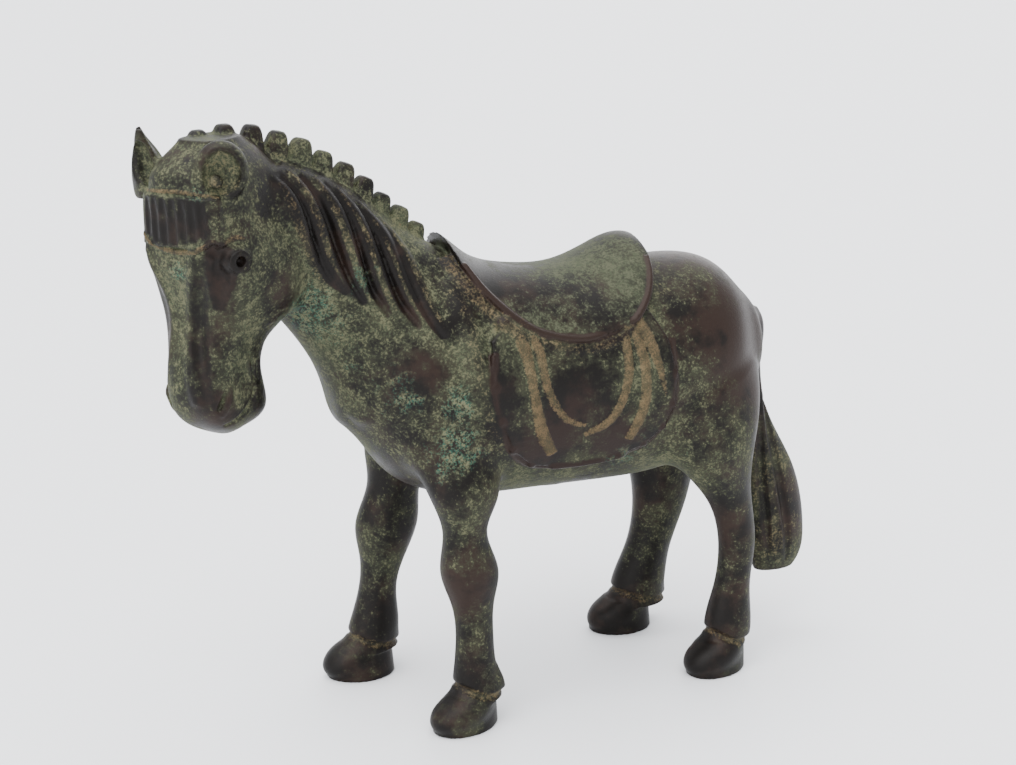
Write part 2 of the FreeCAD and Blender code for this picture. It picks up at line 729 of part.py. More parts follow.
node(neckDowel, "neck_dowel")
node(headDowel, "head_dowel")
node(tailDowel, "tail_dowel")
node(fuse("saddle_pin_group", [bar for bar, bore in saddleSpigots]), "saddle_pins")
node(common("plug_casting", trunkShell, plugCore), "belly_plug")
node(common("core_pin_group", trunkShell, fuse("core_pin_rods", corePinRods)), "core_pins")


# ---------- checks and files ----------

doc.recompute()
faults = [obj.Name for obj in doc.Objects if "Invalid" in obj.State or "Error" in obj.State]
for obj in nodes:
    if obj.Shape.isNull() or not obj.Shape.isValid() or not obj.Shape.Solids:
        faults.append(obj.Label)
if faults:
    raise SystemExit("failed objects: " + ", ".join(faults))

os.makedirs("parts", exist_ok=True)
for obj in nodes:
    obj.Shape.exportStep(f"parts/{obj.Label}.step")
    box = obj.Shape.optimalBoundingBox()
    print(f"{obj.Label}: {len(obj.Shape.Solids)} solid(s), {obj.Shape.Volume:.0f} mm3, "
          f"X {box.XMin:.1f}..{box.XMax:.1f} Y {box.YMin:.1f}..{box.YMax:.1f} Z {box.ZMin:.1f}..{box.ZMax:.1f}")
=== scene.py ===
import json
import math

import bmesh
import bpy
import numpy as np
import openvdb as vdb
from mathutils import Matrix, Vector


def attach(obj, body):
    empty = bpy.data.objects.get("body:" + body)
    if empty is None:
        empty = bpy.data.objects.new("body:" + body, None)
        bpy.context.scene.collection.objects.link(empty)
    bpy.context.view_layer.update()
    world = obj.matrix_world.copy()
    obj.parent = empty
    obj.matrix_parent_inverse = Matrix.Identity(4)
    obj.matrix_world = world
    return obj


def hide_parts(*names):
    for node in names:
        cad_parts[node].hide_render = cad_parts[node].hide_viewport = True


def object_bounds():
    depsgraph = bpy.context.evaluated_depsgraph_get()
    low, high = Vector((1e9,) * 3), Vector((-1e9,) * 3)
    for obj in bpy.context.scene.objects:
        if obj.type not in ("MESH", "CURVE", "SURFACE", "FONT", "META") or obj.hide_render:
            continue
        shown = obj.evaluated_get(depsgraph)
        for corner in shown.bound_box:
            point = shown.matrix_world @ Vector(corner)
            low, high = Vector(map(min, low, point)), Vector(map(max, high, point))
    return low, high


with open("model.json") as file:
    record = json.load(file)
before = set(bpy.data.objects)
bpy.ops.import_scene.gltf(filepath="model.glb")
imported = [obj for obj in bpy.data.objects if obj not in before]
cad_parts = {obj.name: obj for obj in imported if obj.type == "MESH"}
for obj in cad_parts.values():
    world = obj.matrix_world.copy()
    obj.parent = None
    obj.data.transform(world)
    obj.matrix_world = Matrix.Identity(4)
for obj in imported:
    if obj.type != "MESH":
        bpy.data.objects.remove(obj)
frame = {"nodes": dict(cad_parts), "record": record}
cadLow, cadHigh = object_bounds()
print("frame loaded:", len(frame["nodes"]), "nodes")

mm = 0.001  # the sculpting below works in millimetres, in the frame's own axes

# The whole horse is first one block of clay: a lattice of distances to its skin. CAD castings are
# joined in it with soft fillets, relief is added and cut, and then it is parted into its castings.
clay = {
    "grain": 0.4,  # lattice step
    "reach": 7.0,  # distances are kept this far outside the skin
    "inside": 3.2,  # and this far inside it
    "margin": 3.0,
}
grain, reach, inside = clay["grain"], clay["reach"], clay["inside"]
lattice = vdb.createLinearTransform(grain)
blockLow = np.floor((np.array(cadLow) / mm - clay["margin"]) / grain).astype(int)
blockHigh = np.ceil((np.array(cadHigh) / mm + clay["margin"]) / grain).astype(int)
whole = np.full(blockHigh - blockLow, reach, np.float32)


def window(points, pad):
    low = np.maximum(np.floor((points.min(0) - pad) / grain).astype(int), blockLow)
    high = np.minimum(np.ceil((points.max(0) + pad) / grain).astype(int), blockHigh)
    return low, high - low


def cells(low, shape):
    first = low - blockLow
    return tuple(slice(int(a), int(a + b)) for a, b in zip(first, shape))


def distances(points, faces, outside):
    low, shape = window(points, outside)
    level = vdb.FloatGrid.createLevelSetFromPolygons(
        points=points.astype(np.float32), triangles=faces.astype(np.uint32), transform=lattice,
        exBandWidth=outside / grain, inBandWidth=inside / grain)
    field = np.empty(shape, np.float32)
    level.copyToArray(field, ijk=tuple(int(i) for i in low))
    return low, field


def softMin(a, b, blend):
    if blend <= 0:
        return np.minimum(a, b)
    near = np.clip(1 - np.abs(a - b) / blend, 0, None)
    return np.minimum(a, b) - near * near * blend / 4


def add(shape, blend):
    low, field = shape
    spot = cells(low, field.shape)
    whole[spot] = softMin(whole[spot], field, blend)


def carve(shape, blend):
    low, field = shape
    spot = cells(low, field.shape)
    whole[spot] = -softMin(-whole[spot], field, blend)


def read(shape, points, missing=None):
    low, field = shape
    place = points / grain - low
    cell = np.floor(place).astype(int)
    share = (place - cell).astype(np.float32)
    good = np.all((cell >= 0) & (cell < np.array(field.shape) - 1), axis=1)
    cell = np.where(good[:, None], cell, 0)
    total = np.zeros(len(points), np.float32)
    for corner in np.ndindex(2, 2, 2):
        weight = np.ones(len(points), np.float32)
        for axis in range(3):
            weight *= share[:, axis] if corner[axis] else 1 - share[:, axis]
        total += weight * field[tuple(cell[:, axis] + corner[axis] for axis in range(3))]
    return np.where(good, total, reach if missing is None else missing)


def welded(mesh):
    work = bmesh.new()
    work.from_mesh(mesh)
    bmesh.ops.remove_doubles(work, verts=work.verts, dist=1e-6)
    bmesh.ops.triangulate(work, faces=work.faces)
    points = np.array([v.co for v in work.verts], np.float32) / mm
    faces = np.array([[v.index for v in f.verts] for f in work.faces], np.uint32)
    work.free()
    return points, faces


def casting(name, outside=reach, grow=0.0):
    points, faces = welded(frame["nodes"][name].data)
    low, field = distances(points, faces, outside)
    return low, field - grow


# ---- geometry node trees for what repeats or follows a path

def nodeMaker(tree):
    def node(kind, links=(), **settings):
        made = tree.nodes.new(kind)
        for key, value in settings.items():
            setattr(made, key, value)
        for socket, source in dict(links).items():
            if hasattr(source, "is_linked"):
                tree.links.new(source, made.inputs[socket])
            else:
                made.inputs[socket].default_value = source
        return made

    return node


def newTree(name, inputs):
    tree = bpy.data.node_groups.new(name, "GeometryNodeTree")
    tree.interface.new_socket(name="Geometry", in_out="OUTPUT", socket_type="NodeSocketGeometry")
    tree.interface.new_socket(name="Geometry", in_out="INPUT", socket_type="NodeSocketGeometry")
    keys = {}
    for label, kind, value in inputs:
        socket = tree.interface.new_socket(name=label, in_out="INPUT", socket_type="NodeSocket" + kind)
        if value is not None:
            socket.default_value = value
        keys[label] = socket.identifier
    start = tree.nodes.new("NodeGroupInput")
    end = tree.nodes.new("NodeGroupOutput")

    node = nodeMaker(tree)

    def close(geometry):
        real = node("GeometryNodeRealizeInstances", {"Geometry": geometry})
        finish = node("GeometryNodeSetMaterial",
                      {"Geometry": real.outputs[0], "Material": start.outputs["Finish"]})
        tree.links.new(finish.outputs[0], end.inputs[0])

    return tree, keys, start, node, close


def rollTree():
    tree, keys, start, node, close = newTree("rollsAlongPaths", [
        ("Paths", "Object", None), ("Sides", "Int", 14), ("Girth", "Float", 1.0),
        ("Step", "Float", 0.6), ("Finish", "Material", None)])
    paths = node("GeometryNodeObjectInfo", {"Object": start.outputs["Paths"]})
    even = node("GeometryNodeResampleCurve", {"Curve": paths.outputs["Geometry"],
                                              "Length": start.outputs["Step"]}, mode="LENGTH")
    radius = node("GeometryNodeInputRadius")
    size = node("ShaderNodeMath", {0: radius.outputs[0], 1: start.outputs["Girth"]},
                operation="MULTIPLY")
    ring = node("GeometryNodeCurvePrimitiveCircle",
                {"Resolution": start.outputs["Sides"], "Radius": 1.0})
    roll = node("GeometryNodeCurveToMesh", {"Curve": even.outputs[0], "Profile Curve": ring.outputs[0],
                                            "Scale": size.outputs[0], "Fill Caps": True})
    close(roll.outputs[0])
    return tree, keys


def tuftTree():
    tree, keys, start, node, close = newTree("tuftsAlongCrest", [
        ("Crest", "Object", None), ("Tuft", "Object", None), ("Count", "Int", 11),
        ("Upright", "Float", 0.5), ("Unevenness", "Float", 0.06), ("Seed", "Int", 4),
        ("Finish", "Material", None)])
    crest = node("GeometryNodeObjectInfo", {"Object": start.outputs["Crest"]})
    tuft = node("GeometryNodeObjectInfo", {"Object": start.outputs["Tuft"], "As Instance": True})
    spots = node("GeometryNodeCurveToPoints", {"Curve": crest.outputs["Geometry"],
                                               "Count": start.outputs["Count"]}, mode="COUNT")
    level = node("ShaderNodeVectorMath", {0: spots.outputs["Tangent"], 1: (1.0, 0.0, 0.0)},
                 operation="MULTIPLY")
    lean = node("ShaderNodeVectorMath", {0: level.outputs[0], "Scale": start.outputs["Upright"]},
                operation="SCALE")
    blend = node("ShaderNodeVectorMath", {0: spots.outputs["Tangent"], 1: lean.outputs[0]},
                 operation="ADD")
    turn = node("FunctionNodeAlignRotationToVector", {"Vector": blend.outputs[0]}, axis="X")
    stand = node("FunctionNodeAlignRotationToVector",
                 {"Rotation": turn.outputs[0], "Vector": (0.0, 0.0, 1.0)}, axis="Z", pivot_axis="X")
    least = node("ShaderNodeMath", {0: 1.0, 1: start.outputs["Unevenness"]}, operation="SUBTRACT")
    most = node("ShaderNodeMath", {0: 1.0, 1: start.outputs["Unevenness"]}, operation="ADD")
    chance = node("FunctionNodeRandomValue", {"Seed": start.outputs["Seed"]}, data_type="FLOAT")
    tree.links.new(least.outputs[0], chance.inputs[2])
    tree.links.new(most.outputs[0], chance.inputs[3])
    radius = node("GeometryNodeInputRadius")
    size = node("ShaderNodeMath", {0: radius.outputs[0], 1: chance.outputs[1]}, operation="MULTIPLY")
    tufts = node("GeometryNodeInstanceOnPoints", {
        "Points": spots.outputs["Points"], "Instance": tuft.outputs["Geometry"],
        "Rotation": stand.outputs[0], "Scale": size.outputs[0]})
    close(tufts.outputs[0])
    return tree, keys


def grown(name, recipe, values):
    tree, keys = recipe
    host = bpy.data.objects.new(name, bpy.data.meshes.new(name))
    bpy.context.scene.collection.objects.link(host)
    maker = host.modifiers.new(name, "NODES")
    maker.node_group = tree
    for label, value in values.items():
        maker[keys[label]] = value
    bpy.context.view_layer.update()
    sight = bpy.context.evaluated_depsgraph_get()
    mesh = bpy.data.meshes.new_from_object(host.evaluated_get(sight))
    host.modifiers.remove(maker)
    bpy.data.objects.remove(host)
    points, faces = trianglesOf(mesh)
    bpy.data.meshes.remove(mesh)
    return points, faces


def trianglesOf(mesh):
    mesh.calc_loop_triangles()
    points = np.empty(len(mesh.vertices) * 3, np.float32)
    mesh.vertices.foreach_get("co", points)
    faces = np.empty(len(mesh.loop_triangles) * 3, np.int32)
    mesh.loop_triangles.foreach_get("vertices", faces)
    return points.reshape(-1, 3), faces.reshape(-1, 3).astype(np.uint32)


def curveObject(name, lines):
    data = bpy.data.curves.new(name, "CURVE")
    data.dimensions = "3D"
    for line in lines:
        spline = data.splines.new("POLY")
        spline.points.add(len(line) - 1)
        for point, (x, y, z, r) in zip(spline.points, line):
            point.co = (x, y, z, 1)
            point.radius = r
    made = bpy.data.objects.new(name, data)
    bpy.context.scene.collection.objects.link(made)
    return made


rolls = rollTree()
tuftRows = tuftTree()
sketch = bpy.data.materials.new("sketchClay")  # only until the clay is parted into castings


def rollField(name, lines, outside=3.0, sides=14):
    paths = curveObject(name, [line for line in lines if len(line) > 1])
    points, faces = grown(name, rolls, {"Paths": paths, "Sides": sides, "Finish": sketch})
    bpy.data.objects.remove(paths)
    return distances(points, faces, outside)


# ---- lines drawn over the skin

def throughPoints(points, spacing=1.0):
    rows = np.array(points, float)
    ends = np.vstack([2 * rows[0] - rows[1], rows, 2 * rows[-1] - rows[-2]])
    out = []
    for i in range(len(rows) - 1):
        a, b, c, d = ends[i:i + 4]
        steps = max(2, int(np.linalg.norm((c - b)[:-1]) / spacing))
        t = np.linspace(0, 1, steps, endpoint=False)[:, None]
        out.append(0.5 * (2 * b + (c - a) * t + (2 * a - 5 * b + 4 * c - d) * t ** 2
                          + (3 * b - a - 3 * c + d) * t ** 3))
    return np.vstack(out + [rows[-1:]])


def land(points, aim):
    here = np.array(points, float)
    aim = np.array(aim, float) / np.linalg.norm(aim)
    moving = np.ones(len(here), bool)
    for step in range(160):
        gap = read((blockLow, whole), here)
        moving &= gap > 0.04
        here[moving] += aim * np.clip(gap[moving] * 0.8, 0.05, 3.0)[:, None]
    return here


def skinLine(points, aim, sink=0.0, away=14.0, farthest=23.0):
    # dropped onto the skin along aim; rows that miss the skin are left out
    rows = throughPoints(points)
    aim = np.array(aim, float) / np.linalg.norm(aim)
    start = rows[:, :3] - aim * away
    landed = land(start, aim)
    met = np.linalg.norm(landed - start, axis=1) < farthest
    return np.hstack([landed + aim * sink, rows[:, 3:4]])[met]


def flankLine(points, side, sink=0.0):
    return skinLine([(x, side * 20.0, z, r) for x, z, r in points], (0, -side, 0), sink, 20.0, 45.0)


headPole = np.array([-74.8, -8.0, 0.0])  # the head turns about this upright line
headAhead = np.array([-0.766, -0.643, 0.0])
headLeft = np.array([0.643, -0.766, 0.0])
faceMiddle = -3.0  # the face's own middle, a little right of the pole
muzzleMiddle = 0.0


def onHead(ahead, left, up):
    return headPole + ahead * headAhead + left * headLeft + np.array([0.0, 0.0, up])


def headRow(ahead, left, up, radius):
    return (*onHead(ahead, left, up), radius)


def mirrored(rows, middle=faceMiddle):
    return [(a, 2 * middle - b, z, r) for a, b, z, r in rows]


painted = {"tan": [], "dark": [], "rubbed": []}  # relief with its own colour: tan earth and rubbed wear, and dark painted shade in grooves and pits


def paint(kind, shape, soft, strength=1.0):
    painted[kind].append((shape, soft, strength))
    return shape


def headLine(rows, aim, sink=0.0, away=10.0):
    direction = aim[0] * headAhead + aim[1] * headLeft + np.array([0, 0, aim[2]])
    return skinLine([headRow(*row) for row in rows], direction, sink, away, away + 9.0)


def ball(centre, radii, facing=(1, 0, 0), outside=3.0):
    # an egg whose first radius lies along facing, and whose third stands up
    a = np.array(facing, float) / np.linalg.norm(facing)
    b = np.cross((0, 0, 1), a)
    b /= np.linalg.norm(b)
    c = np.cross(a, b)
    centre = np.array(centre, float)
    reachOut = max(radii) + outside
    low, shape = window(np.array([centre - reachOut, centre + reachOut]), 0.0)
    grid = np.stack(np.meshgrid(*[(low[i] + np.arange(shape[i])) * grain - centre[i]
                                  for i in range(3)], indexing="ij"), -1)
    local = np.stack([grid @ a / radii[0], grid @ b / radii[1], grid @ c / radii[2]], -1)
    size = np.linalg.norm(local, axis=-1)
    slope = np.linalg.norm(local / np.array(radii), axis=-1)
    return low, (size * (size - 1) / np.maximum(slope, 1e-6)).astype(np.float32)


def fillHollows(rounds=3):
    # air that cannot be reached from outside becomes bronze
    solid = whole <= 0
    air = np.zeros(whole.shape, bool)
    for axis in range(3):
        edge = [slice(None)] * 3
        for edge[axis] in (0, -1):
            air[tuple(edge)] = True
    air &= ~solid
    for turn in range(rounds):
        for axis in range(3):
            line = [1, 1, 1]
            line[axis] = -1
            place = np.arange(whole.shape[axis], dtype=np.int16).reshape(line)
            for back in (False, True):
                openTo, shut = (np.flip(a, axis) if back else a for a in (air, solid))
                lastAir = np.maximum.accumulate(np.where(openTo, place, np.int16(-1)), axis=axis)
                lastShut = np.maximum.accumulate(np.where(shut, place, np.int16(-1)), axis=axis)
                reached = lastAir > lastShut
                air |= np.flip(reached, axis) if back else reached
    whole[~air & ~solid] = -inside


# ---- joining the castings

joins = {  # casting: fillet, in the order they are joined
    "torso": 0.0, "neck": 7.0, "hindleg_left": 6.0, "hindleg_right": 6.0, "foreleg_left": 6.0,
    "foreleg_right": 6.0, "tail": 3.0, "head": 3.5, "ear_left": 1.6, "ear_right": 1.6,
    "forelock": 0.8, "saddle_cloth_left": 0.7, "saddle_cloth_right": 0.7, "saddle": 0.7,
}
saddleProfile = [  # seen from the side, (x, z)
    (-19.6, 140.0), (-18.8, 126.0), (-17.6, 122.0), (-13.4, 115.4), (-7.2, 109.0), (-0.4, 104.4),
    (8.8, 101.9), (17.6, 101.9), (25.6, 104.2), (30.8, 109.2), (33.8, 114.6), (35.6, 120.0),
    (35.4, 128.0), (33.0, 140.0)]


def trimmed(shape, profile):
    # cut to a side profile, everywhere across the piece
    low, field = shape
    rows = np.array(profile)
    after = np.roll(rows, -1, axis=0)
    x = (low[0] + np.arange(field.shape[0]))[:, None] * grain
    z = (low[2] + np.arange(field.shape[2]))[None, :] * grain
    gap = np.full((field.shape[0], field.shape[2]), 1e9)
    inner = np.zeros(gap.shape, bool)
    for (ax, az), (bx, bz) in zip(rows, after):
        share = ((x - ax) * (bx - ax) + (z - az) * (bz - az)) / ((bx - ax) ** 2 + (bz - az) ** 2)
        share = np.clip(share, 0, 1)
        gap = np.minimum(gap, np.hypot(x - ax - share * (bx - ax), z - az - share * (bz - az)))
        crosses = ((az > z) != (bz > z)) & (x < ax + (z - az) * (bx - ax) / (bz - az + 1e-9))
        inner ^= crosses
    signed = np.where(inner, -gap, gap).astype(np.float32)
    return low, np.maximum(field, signed[:, None, :])


clothSides = {"saddle_cloth_left": -1, "saddle_cloth_right": 1}
clothProfile = [
    (-13.6, 104.0), (-13.9, 93.0), (-12.2, 84.0), (-8.4, 75.6), (-2.4, 70.2), (5.0, 68.5),
    (14.0, 68.2), (22.6, 69.0), (29.4, 71.9), (34.0, 76.4), (36.4, 82.6), (36.8, 91.0),
    (35.4, 100.0), (31.0, 108.0), (20.0, 112.0), (-4.0, 112.0)]


def clothOver(body, side, thick=1.3):
    # a cloth of even thickness laid over the body on one side
    low, field = body
    field = whole[cells(low, field.shape)] - thick
    low, field = trimmed((low, field), clothProfile)
    y = (low[1] + np.arange(field.shape[1])) * grain
    field[:, y * side <= 0, :] = reach
    return low, field


hidden = ("leg_dowels", "neck_dowel", "head_dowel", "tail_dowel", "saddle_pins",
          "belly_plug", "core_pins")
shapes = {}
for name, fillet in joins.items():
    shapes[name] = casting(name)
    if name == "ear_left":
        continue  # its cup is modelled below
    if name == "saddle":
        shapes[name] = trimmed(shapes[name], saddleProfile)
    elif name in clothSides:
        shapes[name] = clothOver(shapes["torso"], clothSides[name])
    add(shapes[name], fillet)
for name in hidden:
    add(casting(name, 2.0, 0.2), 0.0)
fillHollows()
print("castings joined")


# ---- the far ear, the near ear and the face

ears = {
    "near": {"at": (13.6, 8.8, 151.4), "facing": (0.80, 0.60), "size": (4.2, 6.0, 6.9)},
    "bowl": {"out": 3.6, "up": -0.2, "size": (3.6, 4.6, 5.5)},
    "knob": {"out": 1.9, "across": 1.5, "up": -2.0, "radius": 1.7},
}


def sculptEars():
    near, bowl, knob = ears["near"], ears["bowl"], ears["knob"]
    facing = near["facing"][0] * headAhead + near["facing"][1] * headLeft
    across = np.cross(facing, (0, 0, 1))
    centre = onHead(*near["at"])
    cup = ball(centre, near["size"], facing)
    shapes["ear_left"] = cup
    add(cup, 1.2)
    hollow = centre + facing * bowl["out"] + np.array([0, 0, bowl["up"]])
    carve(paint("tan", ball(hollow, bowl["size"], facing), 0.5, 0.5), 0.8)
    bead = centre + facing * knob["out"] + across * knob["across"] + np.array([0, 0, knob["up"]])
    add(ball(bead, (knob["radius"],) * 3), 0.6)
    leaf = rollField("farEar", [[headRow(*row) for row in (
        (10.5, -11.5, 144.5, 4.6), (11.0, -12.4, 149.0, 4.2), (11.6, -13.4, 153.5, 2.9),
        (12.2, -14.2, 157.0, 1.5), (12.4, -14.5, 159.6, 0.5))]])
    shapes["ear_right"] = mergedShape(shapes["ear_right"], leaf)
    add(leaf, 1.0)
    carve(rollField("farEarHollow", [[headRow(*row) for row in (
        (14.5, -10.2, 147.0, 1.2), (14.9, -11.2, 150.0, 2.4), (14.4, -12.4, 153.6, 1.7),
        (13.6, -13.6, 157.0, 0.6))]]), 0.8)


def mergedShape(first, second):
    # one field that covers both windows
    low = np.minimum(first[0], second[0])
    high = np.maximum(first[0] + first[1].shape, second[0] + second[1].shape)
    field = np.full(high - low, reach, np.float32)
    for start, part in (first, second):
        at = start - low
        spot = tuple(slice(int(a), int(a + n)) for a, n in zip(at, part.shape))
        field[spot] = np.minimum(field[spot], part)
    return low, field


def bothSides(row, aim, farAim, sink, middle=faceMiddle):
    return [headLine(row, aim, sink), headLine(mirrored(row, middle), farAim, sink)]


eye = {  # near eye's place, then its ball, ring and pupil
    "at": (14.0, 12.8, 131.4), "ball": (3.6, 3.8, 3.4), "deep": 2.5,
    "ring": (2.4, 2.15), "ringGirth": 0.5, "ringProud": 0.35, "ringPoints": 25,
    "pupil": (2.2, 1.35, 1.25), "pupilProud": 1.2,
}


def sculptEye(sign, aim):
    near = eye["at"]
    at = near if sign > 0 else (near[0], 2 * faceMiddle - near[1], near[2])
    direction = aim[0] * headAhead + aim[1] * headLeft
    centre = land([onHead(*at) - direction * 10], direction)[0]
    add(ball(centre + direction * eye["deep"], eye["ball"]), 1.2)
    across = np.cross(direction, (0, 0, 1))
    wide, tall = eye["ring"]
    ring = []
    for k in range(eye["ringPoints"]):
        angle = k / (eye["ringPoints"] - 1) * 2 * math.pi
        ring.append((*(centre - direction * eye["ringProud"] + across * wide * math.cos(angle)
                       + np.array([0, 0, tall * math.sin(angle)])), eye["ringGirth"]))
    add(rollField("eyeRing", [ring]), 0.5)
    pupil = ball(centre - direction * eye["pupilProud"], eye["pupil"], direction)
    # the pupil is cut, and painted shade darkens it
    carve(paint("dark", pupil, 0.25), 0.25)


def sculptFace():
    front, cheek = (-1.0, 0.0, 0.0), (-0.45, -0.89, 0.0)
    corner = (-0.75, -0.66, 0.0)
    farCheek, farCorner = (-0.45, 0.89, 0.0), (-0.75, 0.66, 0.0)
    # jaws, then the flat of the nose with its two edges
    jaw = [onHead(-1.5, 4.6, 123.5), onHead(-1.5, -6.0, 123.5)]
    for centre in jaw:
        add(ball(centre, (11.5, 11.0, 11.5)), 5.0)
    edge = [(18, 4.4, 134, 0.9), (18, 3.0, 129, 1.2), (18, 1.2, 122, 1.3), (18, 0.4, 112, 1.2),
            (18, 1.0, 104, 0.9), (18, 2.0, 98, 0.6)]
    add(rollField("noseEdges", bothSides(edge, front, front, 0.8)), 2.0)
    groove = [(18, 5.8, 131, 0.6), (18, 4.0, 124, 1.4), (18, 3.2, 114, 1.5), (18, 3.6, 104, 1.2),
              (18, 4.2, 98, 0.5)]
    lines = bothSides(groove, corner, farCorner, -0.8)
    # painted shade along the nose grooves
    carve(paint("dark", rollField("noseGrooves", lines), 1.2, 0.55), 1.6)
    # the hollow before each eye
    hollow = [(17.6, 7.4, 134.6, 1.2), (17.0, 9.6, 132.4, 2.6), (16.8, 9.2, 128.4, 3.0),
              (16.2, 8.2, 124.0, 1.8), (15.6, 7.4, 120.5, 0.6)]
    lines = bothSides(hollow, corner, farCorner, -0.8)
    # painted shade in the hollow before each eye
    carve(paint("dark", rollField("eyeHollows", lines), 1.4), 1.2)
    for sign, aim in ((1, cheek), (-1, farCheek)):
        sculptEye(sign, aim)
    brow = [(17.2, 9.6, 134.6, 0.4), (16.0, 10.4, 135.9, 0.6), (13.6, 11.8, 136.7, 0.7),
            (11.6, 13.0, 136.0, 0.4)]
    lines = bothSides(brow, cheek, farCheek, 0.1)
    add(paint("tan", rollField("brows", lines), 0.3, 0.7), 0.5)
    # the neck fills up to the back of each cheek
    behind = [(-6.0, 12.0, 142.0, 2.5), (-9.0, 12.0, 136.0, 4.0), (-10.5, 11.0, 130.0, 4.5),
              (-11.5, 10.0, 124.0, 4.5), (-11.0, 8.5, 118.0, 3.5)]
    lines = [[headRow(*row) for row in throughPoints(behind)],
             [headRow(*row) for row in throughPoints(mirrored(behind))]]
    add(rollField("cheekFillers", lines), 4.0)
    nostril = [(15.0, 8.1, 100.0, 0.5), (15.6, 7.8, 98.0, 0.9), (16.4, 6.8, 95.6, 0.6)]
    lips = [(4.6, 9, 99.0, 0.3), (5.6, 9, 96.8, 0.6), (7.4, 9, 95.0, 0.7), (10.4, 8.4, 93.0, 0.6),
            (13.0, 5.0, 91.4, 0.4)]
    creases = [[(2.4, 8.4, 105.0, 0.3), (2.4, 8.6, 102.5, 0.65), (2.8, 8.6, 99.8, 0.3)],
               [(5.6, 8.8, 106.2, 0.3), (4.9, 8.8, 103.6, 0.6), (4.5, 8.7, 100.8, 0.3)]]
    lines = []
    for row in [nostril, lips, *creases]:
        lines += bothSides(row, cheek, farCheek, 0.1, muzzleMiddle)
    carve(rollField("muzzleCuts", lines), 0.5)
    rim = [(13.6, 8.6, 101.2, 0.3), (14.2, 8.6, 99.0, 0.8), (15.0, 8.0, 96.6, 0.9),
           (15.6, 7.0, 94.4, 0.4)]
    fold = [(7.2, 8.8, 106.6, 0.3), (6.6, 8.8, 104.0, 0.8), (6.0, 8.7, 100.8, 0.3)]
    lines = []
    for row in (rim, fold):
        lines += bothSides(row, cheek, farCheek, 0.3, muzzleMiddle)
    add(rollField("muzzleRims", lines), 0.8)


def sculptForelock():
    front = (-1.0, 0.0, 0.0)
    lows = {-8.2: 136.6, -5.6: 135.6, -3.0: 135.2, -0.4: 135.2, 2.2: 135.4, 4.8: 136.0, 7.2: 137.2}
    lines = [headLine([(19, b, 145.2, 1.0), (19, b, 141.0, 1.35), (19, b, low, 1.1)], front, -0.8)
             for b, low in lows.items()]
    # painted shade in the forelock's flutes
    carve(paint("dark", rollField("forelockFlutes", lines), 0.35, 0.7), 0.15)
    hem = [(19, -10.2, 136.6, 0.5), (19, -6.6, 134.2, 0.6), (19, -1.0, 133.2, 0.65),
           (19, 5.0, 134.0, 0.6), (19, 9.4, 136.6, 0.5)]
    top = [(19, -9.6, 146.2, 0.4), (19, -2.0, 147.0, 0.5), (19, 5.0, 146.8, 0.5),
           (19, 9.8, 145.8, 0.4)]
    hems = rollField("forelockHems", [headLine(hem, front, 0.1), headLine(top, front, 0.1)])
    add(paint("tan", hems, 0.4, 0.8), 0.3)


# ---- mane: tufts along the crest, locks down both sides of the neck

mane = {"tufts": 11, "upright": 0.9, "unevenness": 0.05, "seed": 7, "length": 4.2, "breadth": 4.1,
        "height": 6.2, "top": 0.42, "front": 0.45}


def tuftBlock():
    # a squared egg, narrower towards its top
    rows, around = 9, 20
    points = []
    for i in range(rows + 1):
        up = -math.pi / 2 + math.pi * i / rows
        for j in range(around):
            turn = 2 * math.pi * j / around

            def squared(value, power):
                return math.copysign(abs(value) ** power, value)

            flat = squared(math.cos(up), 0.45)
            z = squared(math.sin(up), 0.45)
            taper = 1 - mane["top"] * (z + 1) / 2
            points.append((mane["length"] * flat * squared(math.cos(turn), 0.5)
                           * (1 - mane["front"] * (z + 1) / 2),
                           mane["breadth"] * flat * squared(math.sin(turn), 0.7) * taper,
                           mane["height"] * z))
    faces = []
    for i in range(rows):
        for j in range(around):
            k = (j + 1) % around
            faces.append((i * around + j, i * around + k, (i + 1) * around + k, (i + 1) * around + j))
    mesh = bpy.data.meshes.new("tuftBlock")
    mesh.from_pydata(points, [], faces)
    made = bpy.data.objects.new("tuftBlock", mesh)
    bpy.context.scene.collection.objects.link(made)
    return made


def sculptMane():
    crest = throughPoints([  # middle of each tuft, and its size
        (-80.6, -8.0, 152.9, 0.90), (-75.2, -7.2, 153.4, 0.98), (-69.4, -6.4, 153.2, 1.0),
        (-63.6, -5.6, 151.6, 1.0), (-57.8, -4.8, 149.0, 1.0), (-52.0, -4.0, 146.0, 1.0),
        (-46.4, -3.2, 142.6, 1.0), (-41.0, -2.4, 138.4, 0.98), (-36.0, -1.6, 134.2, 0.96),
        (-31.2, -0.8, 130.0, 0.94), (-26.4, 0.0, 126.0, 0.90)])
    path = curveObject("crestLine", [crest])
    block = tuftBlock()
    points, faces = grown("tufts", tuftRows, {
        "Crest": path, "Tuft": block, "Count": mane["tufts"], "Upright": mane["upright"],
        "Unevenness": mane["unevenness"], "Seed": mane["seed"], "Finish": sketch})
    for made in (path, block):
        bpy.data.objects.remove(made)
    spine = crest.copy()
    spine[:, 2] -= 3.4
    spine[:, 3] = 4.3
    ridge = mergedShape(distances(points, faces, reach), rollField("crestSpine", [spine], reach))
    shapes["mane_crest"] = ridge
    add(ridge, 0.7)


